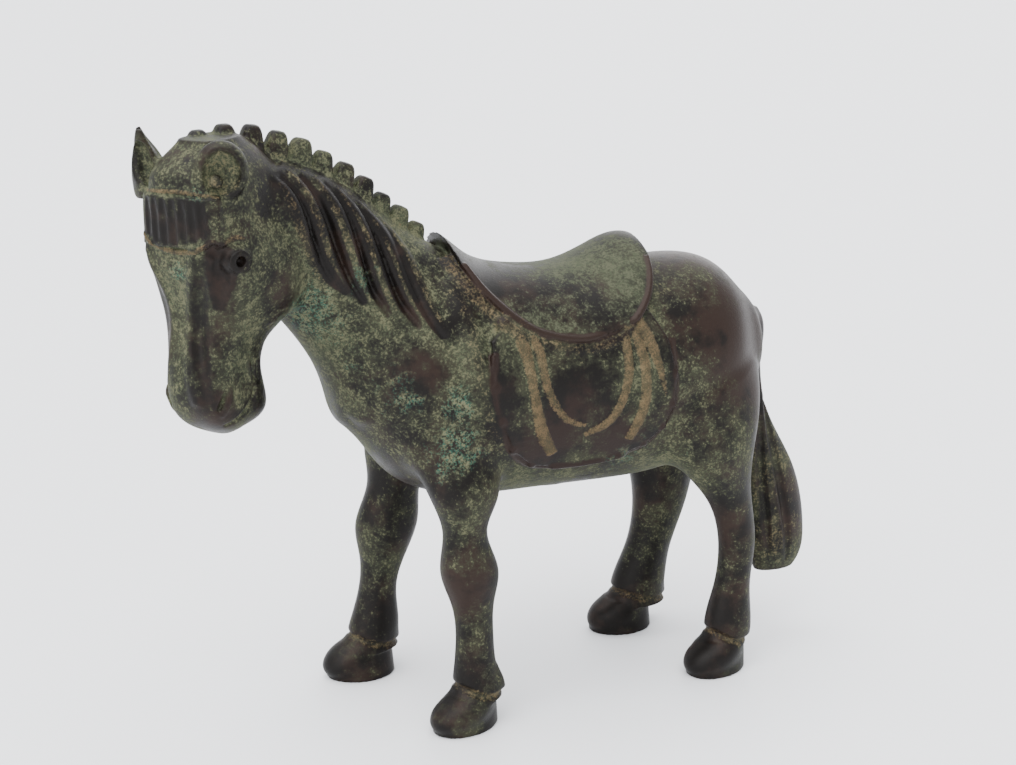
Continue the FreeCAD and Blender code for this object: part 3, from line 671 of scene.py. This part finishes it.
locks = [  # down the neck from the crest, (x, z, half width)
    [(-66.0, 147.0, 0.8), (-63.0, 144.0, 1.8), (-60.4, 137.9, 2.2), (-58.4, 130.7, 2.2),
     (-54.4, 123.6, 1.8), (-50.0, 119.4, 0.8)],
    [(-61.0, 148.0, 0.8), (-57.4, 142.0, 1.9), (-54.8, 135.0, 2.3), (-52.6, 128.0, 2.3),
     (-49.6, 121.8, 1.9), (-46.2, 117.0, 0.8)],
    [(-54.8, 146.0, 0.8), (-51.4, 141.0, 1.9), (-49.0, 136.0, 2.3), (-47.0, 129.5, 2.3),
     (-45.0, 122.0, 2.1), (-41.6, 114.0, 0.8)],
    [(-48.6, 142.5, 0.8), (-45.6, 138.0, 1.9), (-43.2, 133.0, 2.3), (-41.0, 126.5, 2.3),
     (-38.8, 118.9, 2.2), (-34.6, 110.4, 0.8)],
    [(-42.8, 138.5, 0.8), (-39.8, 134.0, 1.9), (-36.9, 129.0, 2.3), (-34.6, 121.8, 2.3),
     (-31.8, 114.6, 2.0), (-27.6, 107.4, 0.8)],
    [(-37.4, 134.0, 0.8), (-34.4, 129.2, 1.8), (-31.4, 123.0, 2.1), (-28.9, 115.8, 2.0),
     (-26.2, 109.6, 1.6), (-23.4, 105.0, 0.7)],
]


def sculptLocks():
    ridges, valleys = [], []
    for side in (-1, 1):
        for i, lock in enumerate(locks):
            ridges.append(flankLine(lock, side, 1.05))
            if i:
                between = [((a[0] + b[0]) / 2, (a[1] + b[1]) / 2, 1.5 * min(a[2], b[2]) / 2.3)
                           for a, b in zip(locks[i - 1], lock)]
                valleys.append(flankLine(between, side, -0.2))
    # painted shade in the valleys between the locks
    carve(paint("dark", rollField("maneValleys", valleys), 0.7), 1.2)
    add(paint("tan", rollField("maneLocks", ridges), 0.8, 0.55), 0.9)


# ---- saddle and cloth

clothFolds = [  # (x, z, half width)
    [(-7.0, 107.2, 1.4), (-5.6, 103.0, 1.8), (-4.4, 96.5, 1.5), (-3.4, 88.9, 1.4), (-1.2, 80.2, 1.7),
     (2.6, 73.4, 1.5)],
    [(-2.6, 104.8, 1.2), (-1.0, 100.0, 1.3), (-0.4, 93.6, 1.2), (2.0, 87.2, 1.1), (6.0, 82.2, 0.9),
     (11.0, 80.4, 0.6)],
    [(24.2, 104.4, 1.2), (23.4, 100.0, 1.2), (23.3, 93.3, 1.2), (21.2, 85.8, 1.2), (17.6, 80.4, 1.2),
     (11.2, 77.6, 0.7)],
    [(25.6, 105.0, 1.2), (26.8, 100.0, 1.3), (28.0, 92.8, 1.4), (27.4, 83.2, 1.5), (24.2, 74.6, 1.4)],
    [(27.2, 106.0, 1.4), (29.8, 100.4, 1.5), (31.6, 94.4, 1.2), (33.8, 85.6, 0.5)],
]
clothHem = [(-13.6, 101.0, 0.8), (-13.9, 93.0, 0.8), (-12.2, 84.0, 0.85), (-8.4, 75.6, 0.9),
            (-2.4, 70.2, 0.95), (5.0, 68.7, 0.95), (14.0, 68.5, 0.95), (22.6, 69.2, 0.95),
            (29.4, 71.9, 0.95), (34.0, 76.4, 0.9), (36.4, 82.6, 0.85), (36.8, 91.0, 0.8),
            (36.6, 99.0, 0.7)]
saddleEdge = [(-17.6, 122.0, 0.8), (-13.4, 115.4, 0.9), (-7.2, 109.0, 0.95), (-0.4, 104.4, 0.95),
              (8.8, 101.9, 0.95), (17.6, 101.9, 0.95), (25.6, 104.2, 0.95), (30.8, 109.2, 0.95),
              (33.8, 114.6, 0.9), (35.2, 119.2, 0.8)]


def sculptTack():
    hems, folds, edges, under = [], [], [], []
    saddleRim = [(10 + (x - 10) * 0.97, 119 + (z - 119) * 0.97, r) for x, z, r in saddleEdge]
    for side in (-1, 1):
        hems.append(flankLine(clothHem, side, 0.35))
        folds += [flankLine(fold, side, 0.75 * max(r for _, _, r in fold) / 1.5) for fold in clothFolds]
        edges.append(flankLine(saddleRim, side, 0.35))
        under.append(flankLine([(x - 0.1 * (x - 10), z - 2.2, 1.6) for x, z, r in saddleEdge[2:-2]],
                               side, 1.1))
        under.append(flankLine([(-20.2, 122.0, 2.6), (-16.2, 114.8, 2.8), (-10.0, 108.0, 2.6),
                                (-3.6, 102.8, 2.0)], side, 1.4))
    add(paint("rubbed", rollField("clothHems", hems), 1.0), 0.5)
    add(paint("tan", rollField("clothFolds", folds), 0.8, 0.95), 0.5)
    add(paint("tan", rollField("skirtFillets", under), 2.4, 0.6), 1.2)
    add(paint("rubbed", rollField("saddleEdges", edges), 0.5), 0.4)


# ---- trunk, legs and tail

shoulderEdge = [  # (x, z, half width)
    (-21.4, 117.0, 1.6), (-19.2, 110.0, 2.6), (-18.3, 103.0, 3.0), (-17.2, 94.0, 3.0),
    (-15.0, 85.0, 2.8), (-11.6, 77.5, 2.2), (-8.0, 72.0, 1.2)]
tailChannels = [
    [(77.6, 84, 0.5), (76.6, 68, 1.0), (77.6, 52, 1.3), (79.8, 38, 1.3), (81.6, 25, 0.7)],
    [(79.4, 84, 0.5), (79.6, 66, 1.0), (83.6, 48, 1.3), (86.8, 33, 1.2), (87.8, 22, 0.6)],
    [(74.6, 62, 0.5), (73.8, 48, 1.0), (75.2, 36, 1.1), (77.0, 26, 0.6)],
]


def sculptBody():
    shoulder = [flankLine(shoulderEdge, side, 2.0) for side in (-1, 1)]
    add(paint("tan", rollField("shoulderEdges", shoulder), 1.4, 0.6), 2.2)
    tail = [flankLine(line, side, -0.35) for side in (-1, 1) for line in tailChannels]
    # painted shade in the tail's channels
    carve(paint("dark", rollField("tailChannels", tail), 0.5, 0.35), 0.7)


spurs = {  # back of each fetlock
    "foreleg_left": [(-13.4, -20.8, 15.4, 1.3), (-11.9, -21.2, 11.8, 1.5), (-10.6, -21.6, 9.4, 0.5)],
    "foreleg_right": [(-28.4, 19.4, 14.8, 1.4), (-26.8, 19.2, 11.0, 1.6), (-25.4, 19.0, 8.8, 0.5)],
    "hindleg_left": [(62.6, -18.8, 14.6, 1.2), (63.8, -19.2, 11.8, 1.3), (64.8, -19.4, 10.2, 0.5)],
    "hindleg_right": [(54.2, 16.8, 14.8, 1.4), (56.2, 16.4, 11.2, 1.6), (57.8, 16.0, 9.4, 0.5)],
}
hooves = {  # middle of the pastern, then of the hoof's front
    "foreleg_left": ((-19.0, -21.2), (-22.6, -21.8, 5.2)),
    "foreleg_right": ((-34.2, 19.6), (-38.2, 20.1, 5.4)),
    "hindleg_left": ((57.2, -19.0), (54.4, -19.2, 5.2)),
    "hindleg_right": ((48.4, 17.0), (42.6, 17.5, 5.4)),
}


def cuffRing(x, y, front=12.4, back=8.8):
    ring = []
    for k in range(25):
        turn = k / 24 * 2 * math.pi
        out = np.array([math.cos(turn), math.sin(turn), 0.0])
        z = (front + back) / 2 - out[0] * (front - back) / 2
        spot = land([np.array([x, y, z]) + out * 13], -out)[0]
        ring.append((*spot, 0.75))
    return np.array(ring)


def sculptLegs():
    add(rollField("fetlockSpurs", [throughPoints(line) for line in spurs.values()]), 1.6)
    for pastern, front in hooves.values():
        add(ball(front, (8.8, 6.4, 5.0), (-0.94, 0.0, -0.34)), 1.6)
    rings = [cuffRing(*pastern) for pastern, front in hooves.values()]
    carve(paint("tan", rollField("cuffGrooves", rings), 2.0, 0.7), 0.8)
    ground = (np.arange(whole.shape[2]) + blockLow[2]) * grain
    whole[:] = np.maximum(whole, -ground[None, None, :].astype(np.float32))


sculptEars()
sculptFace()
sculptForelock()
sculptLocks()
sculptMane()
sculptTack()
sculptBody()
sculptLegs()
print("relief sculpted")


# ---- a wear map read from the clay: crests are rubbed, hollows keep dust

def boxBlur(field, cellsWide):
    for axis in range(3):
        total = np.cumsum(field, axis=axis, dtype=np.float32)
        half = cellsWide // 2
        count = field.shape[axis]
        high = np.minimum(np.arange(count) + half, count - 1)
        low = np.arange(count) - half - 1
        upper = np.take(total, high, axis=axis)
        lower = np.take(total, np.maximum(low, 0), axis=axis)
        cut = [None, None, None]
        cut[axis] = slice(None)
        lower *= (low >= 0).astype(np.float32)[tuple(cut)]
        field = (upper - lower) / (high - np.maximum(low, -1)).astype(np.float32)[tuple(cut)]
    return field


def hollowness(radius):
    wide = int(radius / grain) * 2 + 1
    soft = boxBlur(np.clip(whole, -radius * 1.5, radius * 1.5), wide)
    return boxBlur(soft, wide)


fine = hollowness(0.9)
print("wear map read")


# ---- from clay to one skin

def skinOf():
    level = vdb.FloatGrid(reach)
    level.copyFromArray(np.ascontiguousarray(whole), ijk=tuple(int(i) for i in blockLow))
    level.transform = lattice
    points, threes, fours = level.convertToPolygons(isovalue=0.0, adaptivity=0.0)
    fours = fours.astype(np.int64)
    faces = np.vstack([threes.astype(np.int64).reshape(-1, 3), fours[:, [0, 1, 2]], fours[:, [0, 2, 3]]])
    corners = points[faces].astype(np.float64)
    volume = np.einsum("ij,ij->", corners[:, 0], np.cross(corners[:, 1], corners[:, 2]))
    if volume < 0:
        faces = faces[:, ::-1]
    return points.astype(np.float64), faces


def connected(count, edges):
    label = np.arange(count)
    while True:
        least = np.minimum(label[edges[:, 0]], label[edges[:, 1]])
        fresh = label.copy()
        np.minimum.at(fresh, edges[:, 0], least)
        np.minimum.at(fresh, edges[:, 1], least)
        fresh = fresh[fresh]
        if np.array_equal(fresh, label):
            return label
        label = fresh


def largestBody(points, faces):
    label = connected(len(points), np.vstack([faces[:, [0, 1]], faces[:, [1, 2]]]))
    roots, counts = np.unique(label[faces[:, 0]], return_counts=True)
    keep = label[faces[:, 0]] == roots[np.argmax(counts)]
    faces = faces[keep]
    used = np.unique(faces)
    index = np.full(len(points), -1)
    index[used] = np.arange(len(used))
    return points[used], index[faces]


points, faces = largestBody(*skinOf())
cornerA, cornerB, cornerC = (points[faces[:, i]] for i in range(3))
faceNormals = np.cross(cornerB - cornerA, cornerC - cornerA)
normals = np.zeros_like(points)
for i in range(3):
    for axis in range(3):
        normals[:, axis] += np.bincount(faces[:, i], faceNormals[:, axis], len(points))
normals /= np.maximum(np.linalg.norm(normals, axis=1, keepdims=True), 1e-9)
print("skin:", len(faces), "triangles")


# ---- parting the skin where one casting's distance equals its neighbour's

castings = list(joins) + ["mane_crest"]
favour = {"saddle": 0.25, "saddle_cloth_left": 0.2, "saddle_cloth_right": 0.2, "forelock": 0.3}
nearness = np.stack([read(shapes[name], points) - favour.get(name, 0.0) for name in castings], 1)
owner = np.argmin(nearness, axis=1)


def settled(owner, faces, rounds=6):
    # small islands take their neighbours' casting
    for turn in range(rounds):
        votes = np.zeros((len(owner), len(castings)), np.int32)
        for a, b in ((0, 1), (1, 2), (2, 0)):
            np.add.at(votes, (faces[:, a], owner[faces[:, b]]), 1)
            np.add.at(votes, (faces[:, b], owner[faces[:, a]]), 1)
        own = votes[np.arange(len(owner)), owner]
        best = votes.argmax(1)
        lonely = own * 3 < votes.sum(1)
        if not lonely.any():
            break
        owner = np.where(lonely, best, owner)
    return owner


def mainPatches(owner, faces):
    # every casting keeps its largest patch of skin; scraps pass to their neighbours
    edges = np.vstack([faces[:, [0, 1]], faces[:, [1, 2]], faces[:, [2, 0]]])
    label = connected(len(owner), edges[owner[edges[:, 0]] == owner[edges[:, 1]]])
    size = np.bincount(label, minlength=len(owner))[label]
    loose = np.zeros(len(owner), bool)
    for k in range(len(castings)):
        mine = owner == k
        if mine.any():
            loose |= mine & (label != label[np.argmax(np.where(mine, size, 0))])
    while loose.any():
        votes = np.zeros((len(owner), len(castings)), np.int32)
        for giver, taker in ((edges[:, 0], edges[:, 1]), (edges[:, 1], edges[:, 0])):
            good = loose[taker] & ~loose[giver]
            np.add.at(votes, (taker[good], owner[giver[good]]), 1)
        ready = loose & (votes.sum(1) > 0)
        if not ready.any():
            break
        owner = np.where(ready, votes.argmax(1), owner)
        loose &= ~ready
    return owner


owner = mainPatches(settled(owner, faces), faces)


def partSkin(points, normals, faces, owner):
    extraPoints, extraNormals, seams = [], [], {}
    faceOwner = owner[faces]
    plain = (faceOwner[:, 0] == faceOwner[:, 1]) & (faceOwner[:, 1] == faceOwner[:, 2])
    pieces = {k: [faces[plain & (faceOwner[:, 0] == k)]] for k in range(len(castings))}
    more = {k: [] for k in range(len(castings))}

    def keep(point, normal):
        extraPoints.append(point)
        extraNormals.append(normal / max(np.linalg.norm(normal), 1e-9))
        return len(points) + len(extraPoints) - 1

    def crossing(u, v):
        key = (min(u, v), max(u, v))
        if key not in seams:
            p, q = owner[key[0]], owner[key[1]]
            a = nearness[key[0], p] - nearness[key[0], q]
            b = nearness[key[1], p] - nearness[key[1], q]
            share = min(max(a / (a - b), 0.08), 0.92) if a * b < 0 else 0.5
            seams[key] = keep(points[key[0]] * (1 - share) + points[key[1]] * share,
                              normals[key[0]] * (1 - share) + normals[key[1]] * share)
        return seams[key]

    for face in faces[~plain]:
        marks = [int(owner[i]) for i in face]
        for first in range(3):
            a, b, c = (int(face[(first + k) % 3]) for k in range(3))
            la, lb, lc = (marks[(first + k) % 3] for k in range(3))
            if lb == lc:
                ab, ac = crossing(a, b), crossing(a, c)
                more[la].append((a, ab, ac))
                more[lb] += [(ab, b, c), (ab, c, ac)]
                break
        else:
            a, b, c = (int(i) for i in face)
            ab, bc, ca = crossing(a, b), crossing(b, c), crossing(c, a)
            middle = keep(points[face].mean(0), normals[face].sum(0))
            for corner, left, right, mark in ((a, ab, ca, marks[0]), (b, bc, ab, marks[1]),
                                              (c, ca, bc, marks[2])):
                more[mark] += [(corner, left, middle), (corner, middle, right)]
    allPoints = np.vstack([points, extraPoints])
    allNormals = np.vstack([normals, extraNormals])
    done = {castings[k]: np.vstack([pieces[k][0], np.array(more[k], int).reshape(-1, 3)])
            for k in pieces}
    return allPoints, allNormals, done


points, normals, partedFaces = partSkin(points, normals, faces, owner)
fineAt = read((blockLow, fine), points, 0.0)
print("skin parted into", len(partedFaces), "castings")


def closed(faces, points, normals, depth, wall=1.2):
    # each open rim turns inward by a wall's thickness, then closes on a point under its middle
    directed = np.vstack([faces[:, [0, 1]], faces[:, [1, 2]], faces[:, [2, 0]]])
    size = len(points) + 1
    keys = directed[:, 0] * size + directed[:, 1]
    back = directed[:, 1] * size + directed[:, 0]
    rim = directed[~np.isin(keys, back)]
    group = {}

    def root(i):
        while group.setdefault(i, i) != i:
            group[i] = group[group[i]]
            i = group[i]
        return i

    for u, v in rim:
        group[root(int(u))] = root(int(v))
    loops = {}
    for u, v in rim:
        loops.setdefault(root(int(u)), []).append((int(u), int(v)))
    extra, fans = [], []
    for edges in loops.values():
        ends = np.unique([u for u, v in edges])
        sunk = {}
        for u in ends:
            sunk[int(u)] = len(points) + len(extra)
            extra.append(points[u] - normals[u] * wall)
        lean = normals[ends].mean(0)
        middle = len(points) + len(extra)
        extra.append(points[ends].mean(0) - lean / max(np.linalg.norm(lean), 1e-6) * (depth + wall))
        for u, v in edges:
            fans += [(v, u, sunk[u]), (v, sunk[u], sunk[v]), (sunk[v], sunk[u], middle)]
    return np.array(extra).reshape(-1, 3), np.array(fans, int).reshape(-1, 3), len(loops)


zones = {  # (x, y, z, radius, strength) of broad patches; mirrored ones lie on both flanks
    "verdigris": [(-58, -14, 112, 12, 1.0), (-38, -24, 92, 11, 0.9), (-24, -24, 78, 10, 0.9),
                  (-48, -18, 100, 9, 0.8), (-70, 0, 118, 10, 0.5), (-85, -22, 143, 7, 0.7),
                  (-90, -20, 128, 5, 0.7), (26, -22, 66, 12, 0.6), (44, -20, 70, 10, 0.4),
                  (-23, -22, 90, 6, 0.9), (-45, -14, 122, 7, 0.7)],
    "tan": [(-20, -14, 114, 8, 0.55), (8, -22, 99, 12, 0.45), (38, -16, 112, 6, 0.5),
            (36, -20, 98, 8, 0.4), (-62, -8, 150, 12, 0.45), (-84, -24, 140, 6, 0.4),
            (78, 0, 50, 26, 0.55), (84, 0, 30, 16, 0.6), (-6, -16, 62, 12, 0.3),
            (-14, -22, 76, 6, 0.45), (-30, -6, 132, 10, 0.5), (-45, -8, 140, 10, 0.4)],
    # dark here: darker bare metal at the feet by the floor, and on a few cloth and shoulder patches
    "dark": [(-27, -21, 4, 13, 0.4), (-41, -20, 4, 13, 0.4), (50, -19, 4, 13, 0.4),
             (38, -17, 4, 13, 0.4), (-12, -24, 92, 6, 0.7), (10, -26, 90, 9, 0.6),
             (-36, -24, 96, 8, 0.7)],
    "rubbed": [(62, -14, 96, 20, 1.0), (66, -8, 80, 16, 0.9), (-80, -26, 118, 7, 0.6),
               (-66, -22, 122, 6, 0.5), (2, -26, 76, 9, 0.8), (20, -26, 74, 9, 0.8),
               (-93, -14, 112, 9, 0.5), (-86, -22, 94, 8, 0.5), (-22, -22, 40, 9, 0.7),
               (56, -18, 44, 8, 0.5), (-30, -24, 100, 6, 0.8), (54, 0, 116, 14, 0.6)],
}


def zoneAt(name, points):
    total = np.zeros(len(points))
    for x, y, z, radius, strength in zones[name]:
        for side in (1, -1):
            gap = np.linalg.norm(points - (x, y * side, z), axis=1) / radius
            total = np.maximum(total, strength * np.exp(-gap ** 2 * 1.2))
    return total


# tan, rubbed and verdigris are wear and patina; dark adds painted shade in grooves and pits, and the
# darker zones
def wearAndShadeAt(kind, points):
    total = zoneAt(kind, points)
    for shape, soft, strength in painted.get(kind, []):
        gap = read(shape, points)
        total = np.maximum(total, strength * np.clip(1 - gap / soft, 0, 1))
    return total


def pieceMesh(name, faces, depth):
    extra, fans, rims = closed(faces, points, normals, depth)
    used, index = np.unique(faces, return_inverse=True)
    lookup = np.full(len(points) + len(extra), -1)
    lookup[used] = np.arange(len(used))
    lookup[len(points):] = len(used) + np.arange(len(extra))
    spots = np.vstack([points[used], extra])
    every = lookup[np.vstack([faces, fans])]
    mesh = bpy.data.meshes.new(name)
    mesh.vertices.add(len(spots))
    mesh.vertices.foreach_set("co", (spots * mm).astype(np.float32).ravel())
    mesh.loops.add(every.size)
    mesh.loops.foreach_set("vertex_index", every.astype(np.int32).ravel())
    mesh.polygons.add(len(every))
    mesh.polygons.foreach_set("loop_start", np.arange(0, every.size, 3, dtype=np.int32))
    mesh.polygons.foreach_set("use_smooth", np.ones(len(every), bool))
    mesh.update(calc_edges=True)
    tail = np.zeros(len(extra))
    up = np.tile((0.0, 0.0, 1.0), (len(extra), 1))
    values = {"crestsAndHollows": np.concatenate([fineAt[used], tail])}
    for markKind in zones:
        values[markKind] = np.concatenate([wearAndShadeAt(markKind, points[used]), tail])
    for key, numbers in values.items():
        mesh.attributes.new(key, "FLOAT", "POINT").data.foreach_set("value", numbers.astype(np.float32))
    mesh.normals_split_custom_set_from_vertices(np.vstack([normals[used], up]).tolist())
    made = bpy.data.objects.new(name, mesh)
    bpy.context.scene.collection.objects.link(made)
    print(f"{name}: {len(every)} triangles, {rims} rims")
    return made


# ---- bronze and its patina

base = {
    "dark": (0.0050, 0.0040, 0.0034), "warm": (0.0180, 0.0105, 0.0078), "film": (0.028, 0.031, 0.0175),
    "pale": (0.108, 0.108, 0.060), "green": (0.044, 0.054, 0.030), "turquoise": (0.016, 0.064, 0.045),
    "tan": (0.112, 0.077, 0.039), "earth": (0.050, 0.042, 0.022),
    "stipple": 0.5, "rough": 0.44, "metal": 0.25, "specular": 0.16,
}


def bronze(name, **changes):
    look = {**base, **changes}
    material = bpy.data.materials.new(name)
    material.use_nodes = True
    tree = material.node_tree
    tree.nodes.clear()

    node = nodeMaker(tree)

    def sum2(a, b):
        return node("ShaderNodeMath", {0: a, 1: b}, operation="ADD").outputs[0]

    def times(a, b):
        return node("ShaderNodeMath", {0: a, 1: b}, operation="MULTIPLY").outputs[0]

    def step(value, low, high):
        return node("ShaderNodeMapRange", {0: value, 1: low, 2: high, 3: 0.0, 4: 1.0},
                    interpolation_type="SMOOTHSTEP").outputs[0]

    def mix(factor, a, b):
        made = node("ShaderNodeMix", data_type="RGBA")
        for socket, source in (("Factor_Float", factor), ("A_Color", a), ("B_Color", b)):
            target = next(s for s in made.inputs if s.identifier == socket)
            if hasattr(source, "is_linked"):
                tree.links.new(source, target)
            else:
                target.default_value = (*source, 1.0) if isinstance(source, tuple) else source
        return next(s for s in made.outputs if s.identifier == "Result_Color")

    def markOf(attribute):
        return node("ShaderNodeAttribute", attribute_name=attribute).outputs["Fac"]

    place = node("ShaderNodeTexCoord").outputs["Object"]

    def noise(scale, detail=4.0, rough=0.6, shift=0.0):
        at = node("ShaderNodeMapping", {"Vector": place, "Location": (shift, shift * 0.7, -shift)})
        return node("ShaderNodeTexNoise", {"Vector": at.outputs[0], "Scale": scale, "Detail": detail,
                                           "Roughness": rough}).outputs["Fac"]

    crests = markOf("crestsAndHollows")
    # the dark attribute is painted shade in grooves, pits and valleys, where the near-black bare metal
    # is kept; it also darkens the feet and a few patches
    tanWay, paintedShadeWay, rubbedWay = markOf("tan"), markOf("dark"), markOf("rubbed")
    grains = noise(2700.0, 2.0, 0.5)
    speckle = noise(1500.0, 4.0, 0.65, 0.3)
    patch = noise(430.0, 4.0, 0.65, 0.9)
    blotch = noise(120.0, 4.0, 0.6, 0.7)
    cloud = noise(42.0, 3.0, 0.55, 1.3)
    # bare metal: near black to warm brown, browner where hands rub
    brown = step(sum2(blotch, times(rubbedWay, 0.35)), 0.44, 0.70)
    colour = mix(brown, look["dark"], look["warm"])
    # a thin olive film, then pale grains over it; both leave crests bare, and keep off the dark grooves
    # and valleys, which are painted shade
    bias = sum2(times(paintedShadeWay, -0.34), times(rubbedWay, -0.20))
    bias = sum2(bias, times(crests, -0.30))
    bias = sum2(bias, look["stipple"] - 0.5)
    wide = sum2(times(cloud, 0.85), times(blotch, 0.40))
    filmLevel = sum2(sum2(wide, times(patch, 0.45)), sum2(times(speckle, 0.30), bias))
    film = step(filmLevel, 0.86, 1.10)
    grainLevel = sum2(sum2(times(wide, 0.55), times(patch, 0.35)), sum2(times(speckle, 0.75), bias))
    pale = step(grainLevel, 0.87, 1.02)
    tone = step(sum2(times(grains, 0.6), times(patch, 0.6)), 0.52, 0.70)
    colour = mix(times(film, 0.8), colour, look["film"])
    colour = mix(times(pale, 0.7), colour, mix(tone, look["green"], look["pale"]))
    # verdigris in the same grains, kept a little out of the painted shade
    pool = sum2(times(markOf("verdigris"), 0.42), times(noise(260.0, 5.0, 0.7, 2.1), 0.70))
    pool = step(sum2(pool, times(paintedShadeWay, -0.1)), 0.52, 0.70)
    fleck = step(sum2(times(speckle, 0.7), times(patch, 0.4)), 0.48, 0.60)
    colour = mix(times(times(pool, fleck), 0.85), colour, mix(tone, look["turquoise"], look["pale"]))
    # tan earth on raised lines, kept out of the painted shade
    tanLevel = sum2(times(tanWay, 0.55), sum2(times(speckle, 0.70), times(patch, 0.30)))
    tanned = step(sum2(tanLevel, times(paintedShadeWay, -0.2)), 0.76, 0.97)
    colour = mix(times(tanned, 0.75), colour, mix(tone, look["earth"], look["tan"]))
    cover = node("ShaderNodeMath", {0: times(film, 0.6), 1: pale}, operation="MAXIMUM").outputs[0]
    cover = node("ShaderNodeMath", {0: cover, 1: tanned}, operation="MAXIMUM").outputs[0]
    roughness = node("ShaderNodeMapRange", {0: cover, 3: look["rough"], 4: 0.80}).outputs[0]
    roughness = sum2(roughness, times(sum2(grains, -0.5), 0.25))
    metallic = node("ShaderNodeMapRange", {0: cover, 3: look["metal"], 4: 0.0}).outputs[0]
    height = sum2(times(grains, 0.25), times(speckle, 0.5))
    height = sum2(height, times(cover, 0.35))
    bump = node("ShaderNodeBump", {"Height": height, "Strength": 0.5, "Distance": 0.00014})
    shader = node("ShaderNodeBsdfPrincipled", {
        "Base Color": colour, "Roughness": roughness, "Metallic": metallic,
        "Specular IOR Level": look["specular"],
        "Normal": bump.outputs[0]})
    node("ShaderNodeOutputMaterial", {"Surface": shader.outputs[0]})
    return material


looks = {
    "body_bronze": bronze("bodyBronze"),
    "head_bronze": bronze("headBronze", stipple=0.51),
    "mane_bronze": bronze("maneBronze", stipple=0.55),
    "saddle_bronze": bronze("saddleBronze", pale=(0.070, 0.074, 0.046)),
    "cloth_bronze": bronze("clothBronze", stipple=0.45, warm=(0.0140, 0.0078, 0.0060)),
    "tail_bronze": bronze("tailBronze"),
    "leg_bronze": bronze("legBronze", stipple=0.47),
    "dowel_bronze": bronze("dowelBronze", stipple=0.35),
    "core_iron": bronze("coreIron", warm=(0.028, 0.022, 0.019)),
}

finish = {  # casting: material slot, and how far its inner side lies under its rims
    "torso": ("body_bronze", 0.0), "neck": ("body_bronze", 0.0), "head": ("head_bronze", 0.0),
    "ear_left": ("head_bronze", 2.0), "ear_right": ("head_bronze", 2.0),
    "forelock": ("mane_bronze", 1.5), "mane_crest": ("mane_bronze", 2.0),
    "saddle": ("saddle_bronze", 0.0), "saddle_cloth_left": ("cloth_bronze", 1.4),
    "saddle_cloth_right": ("cloth_bronze", 1.4), "tail": ("tail_bronze", 1.0),
    "foreleg_left": ("leg_bronze", 3.0), "foreleg_right": ("leg_bronze", 3.0),
    "hindleg_left": ("leg_bronze", 3.0), "hindleg_right": ("leg_bronze", 3.0),
}
for name, (slotName, depth) in finish.items():
    made = pieceMesh(name + "_casting", partedFaces[name], depth)
    made.data.materials.append(looks[slotName])
    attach(made, "root")
    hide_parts(name)

nodeSlots = {}
for row in frame["record"]["materials"]:
    for member in row.get("nodes", []):
        nodeSlots[member] = row["slot"]
for name in hidden:
    mesh = frame["nodes"][name].data
    mesh.materials.clear()
    mesh.materials.append(looks[nodeSlots.get(name, "dowel_bronze")])
print("castings finished")


# ---- floor, light and camera

stage = {"floor": (0.80, 0.81, 0.83), "size": 12.0, "world": (0.96, 0.97, 1.0), "worldStrength": 1.6}


def flatMaterial(name, colour):
    material = bpy.data.materials.new(name)
    material.use_nodes = True
    shader = material.node_tree.nodes["Principled BSDF"]
    shader.inputs["Base Color"].default_value = (*colour, 1.0)
    shader.inputs["Roughness"].default_value = 0.6
    shader.inputs["Specular IOR Level"].default_value = 0.2
    return material


def makeStage():
    half = stage["size"]
    mesh = bpy.data.meshes.new("floor")
    mesh.from_pydata([(-half, -half, 0), (half, -half, 0), (half, half, 0), (-half, half, 0)], [],
                     [(0, 1, 2, 3)])
    floor = bpy.data.objects.new("floor", mesh)
    floor.data.materials.append(flatMaterial("paleFloor", stage["floor"]))
    bpy.context.scene.collection.objects.link(floor)
    world = bpy.context.scene.world or bpy.data.worlds.new("studio")
    bpy.context.scene.world = world
    world.use_nodes = True
    glow = world.node_tree.nodes["Background"]
    glow.inputs["Color"].default_value = (*stage["world"], 1.0)
    glow.inputs["Strength"].default_value = stage["worldStrength"]


lamps = {  # where each soft light comes from, its spread in degrees and its power
    "overhead": ((-0.25, -0.10, 1.0), 70.0, 5.0),
    "nearLeft": ((-0.9, -0.6, 0.5), 50.0, 1.6),
    "rearRight": ((0.8, 0.9, 0.6), 50.0, 1.6),
}


def makeLamps():
    for name, (place, spread, power) in lamps.items():
        light = bpy.data.lights.new(name, "SUN")
        light.angle, light.energy = math.radians(spread), power
        lamp = bpy.data.objects.new(name, light)
        bpy.context.scene.collection.objects.link(lamp)
        lamp.location = place
        lamp.rotation_euler = (-Vector(place)).to_track_quat("-Z", "Y").to_euler()


view = {"lens": 60.24, "at": (-0.17322, -0.39185, 0.2169), "tilt": 73.0, "turn": -23.9}


def makeCamera():
    lens = bpy.data.cameras.new("viewer")
    lens.sensor_width, lens.lens = 36.0, view["lens"]
    lens.clip_start, lens.clip_end = 0.01, 20.0
    viewer = bpy.data.objects.new("viewer", lens)
    bpy.context.scene.collection.objects.link(viewer)
    viewer.location = view["at"]
    viewer.rotation_euler = (math.radians(view["tilt"]), 0.0, math.radians(view["turn"]))
    bpy.context.scene.camera = viewer


makeStage()
makeLamps()
makeCamera()

print("stage set")
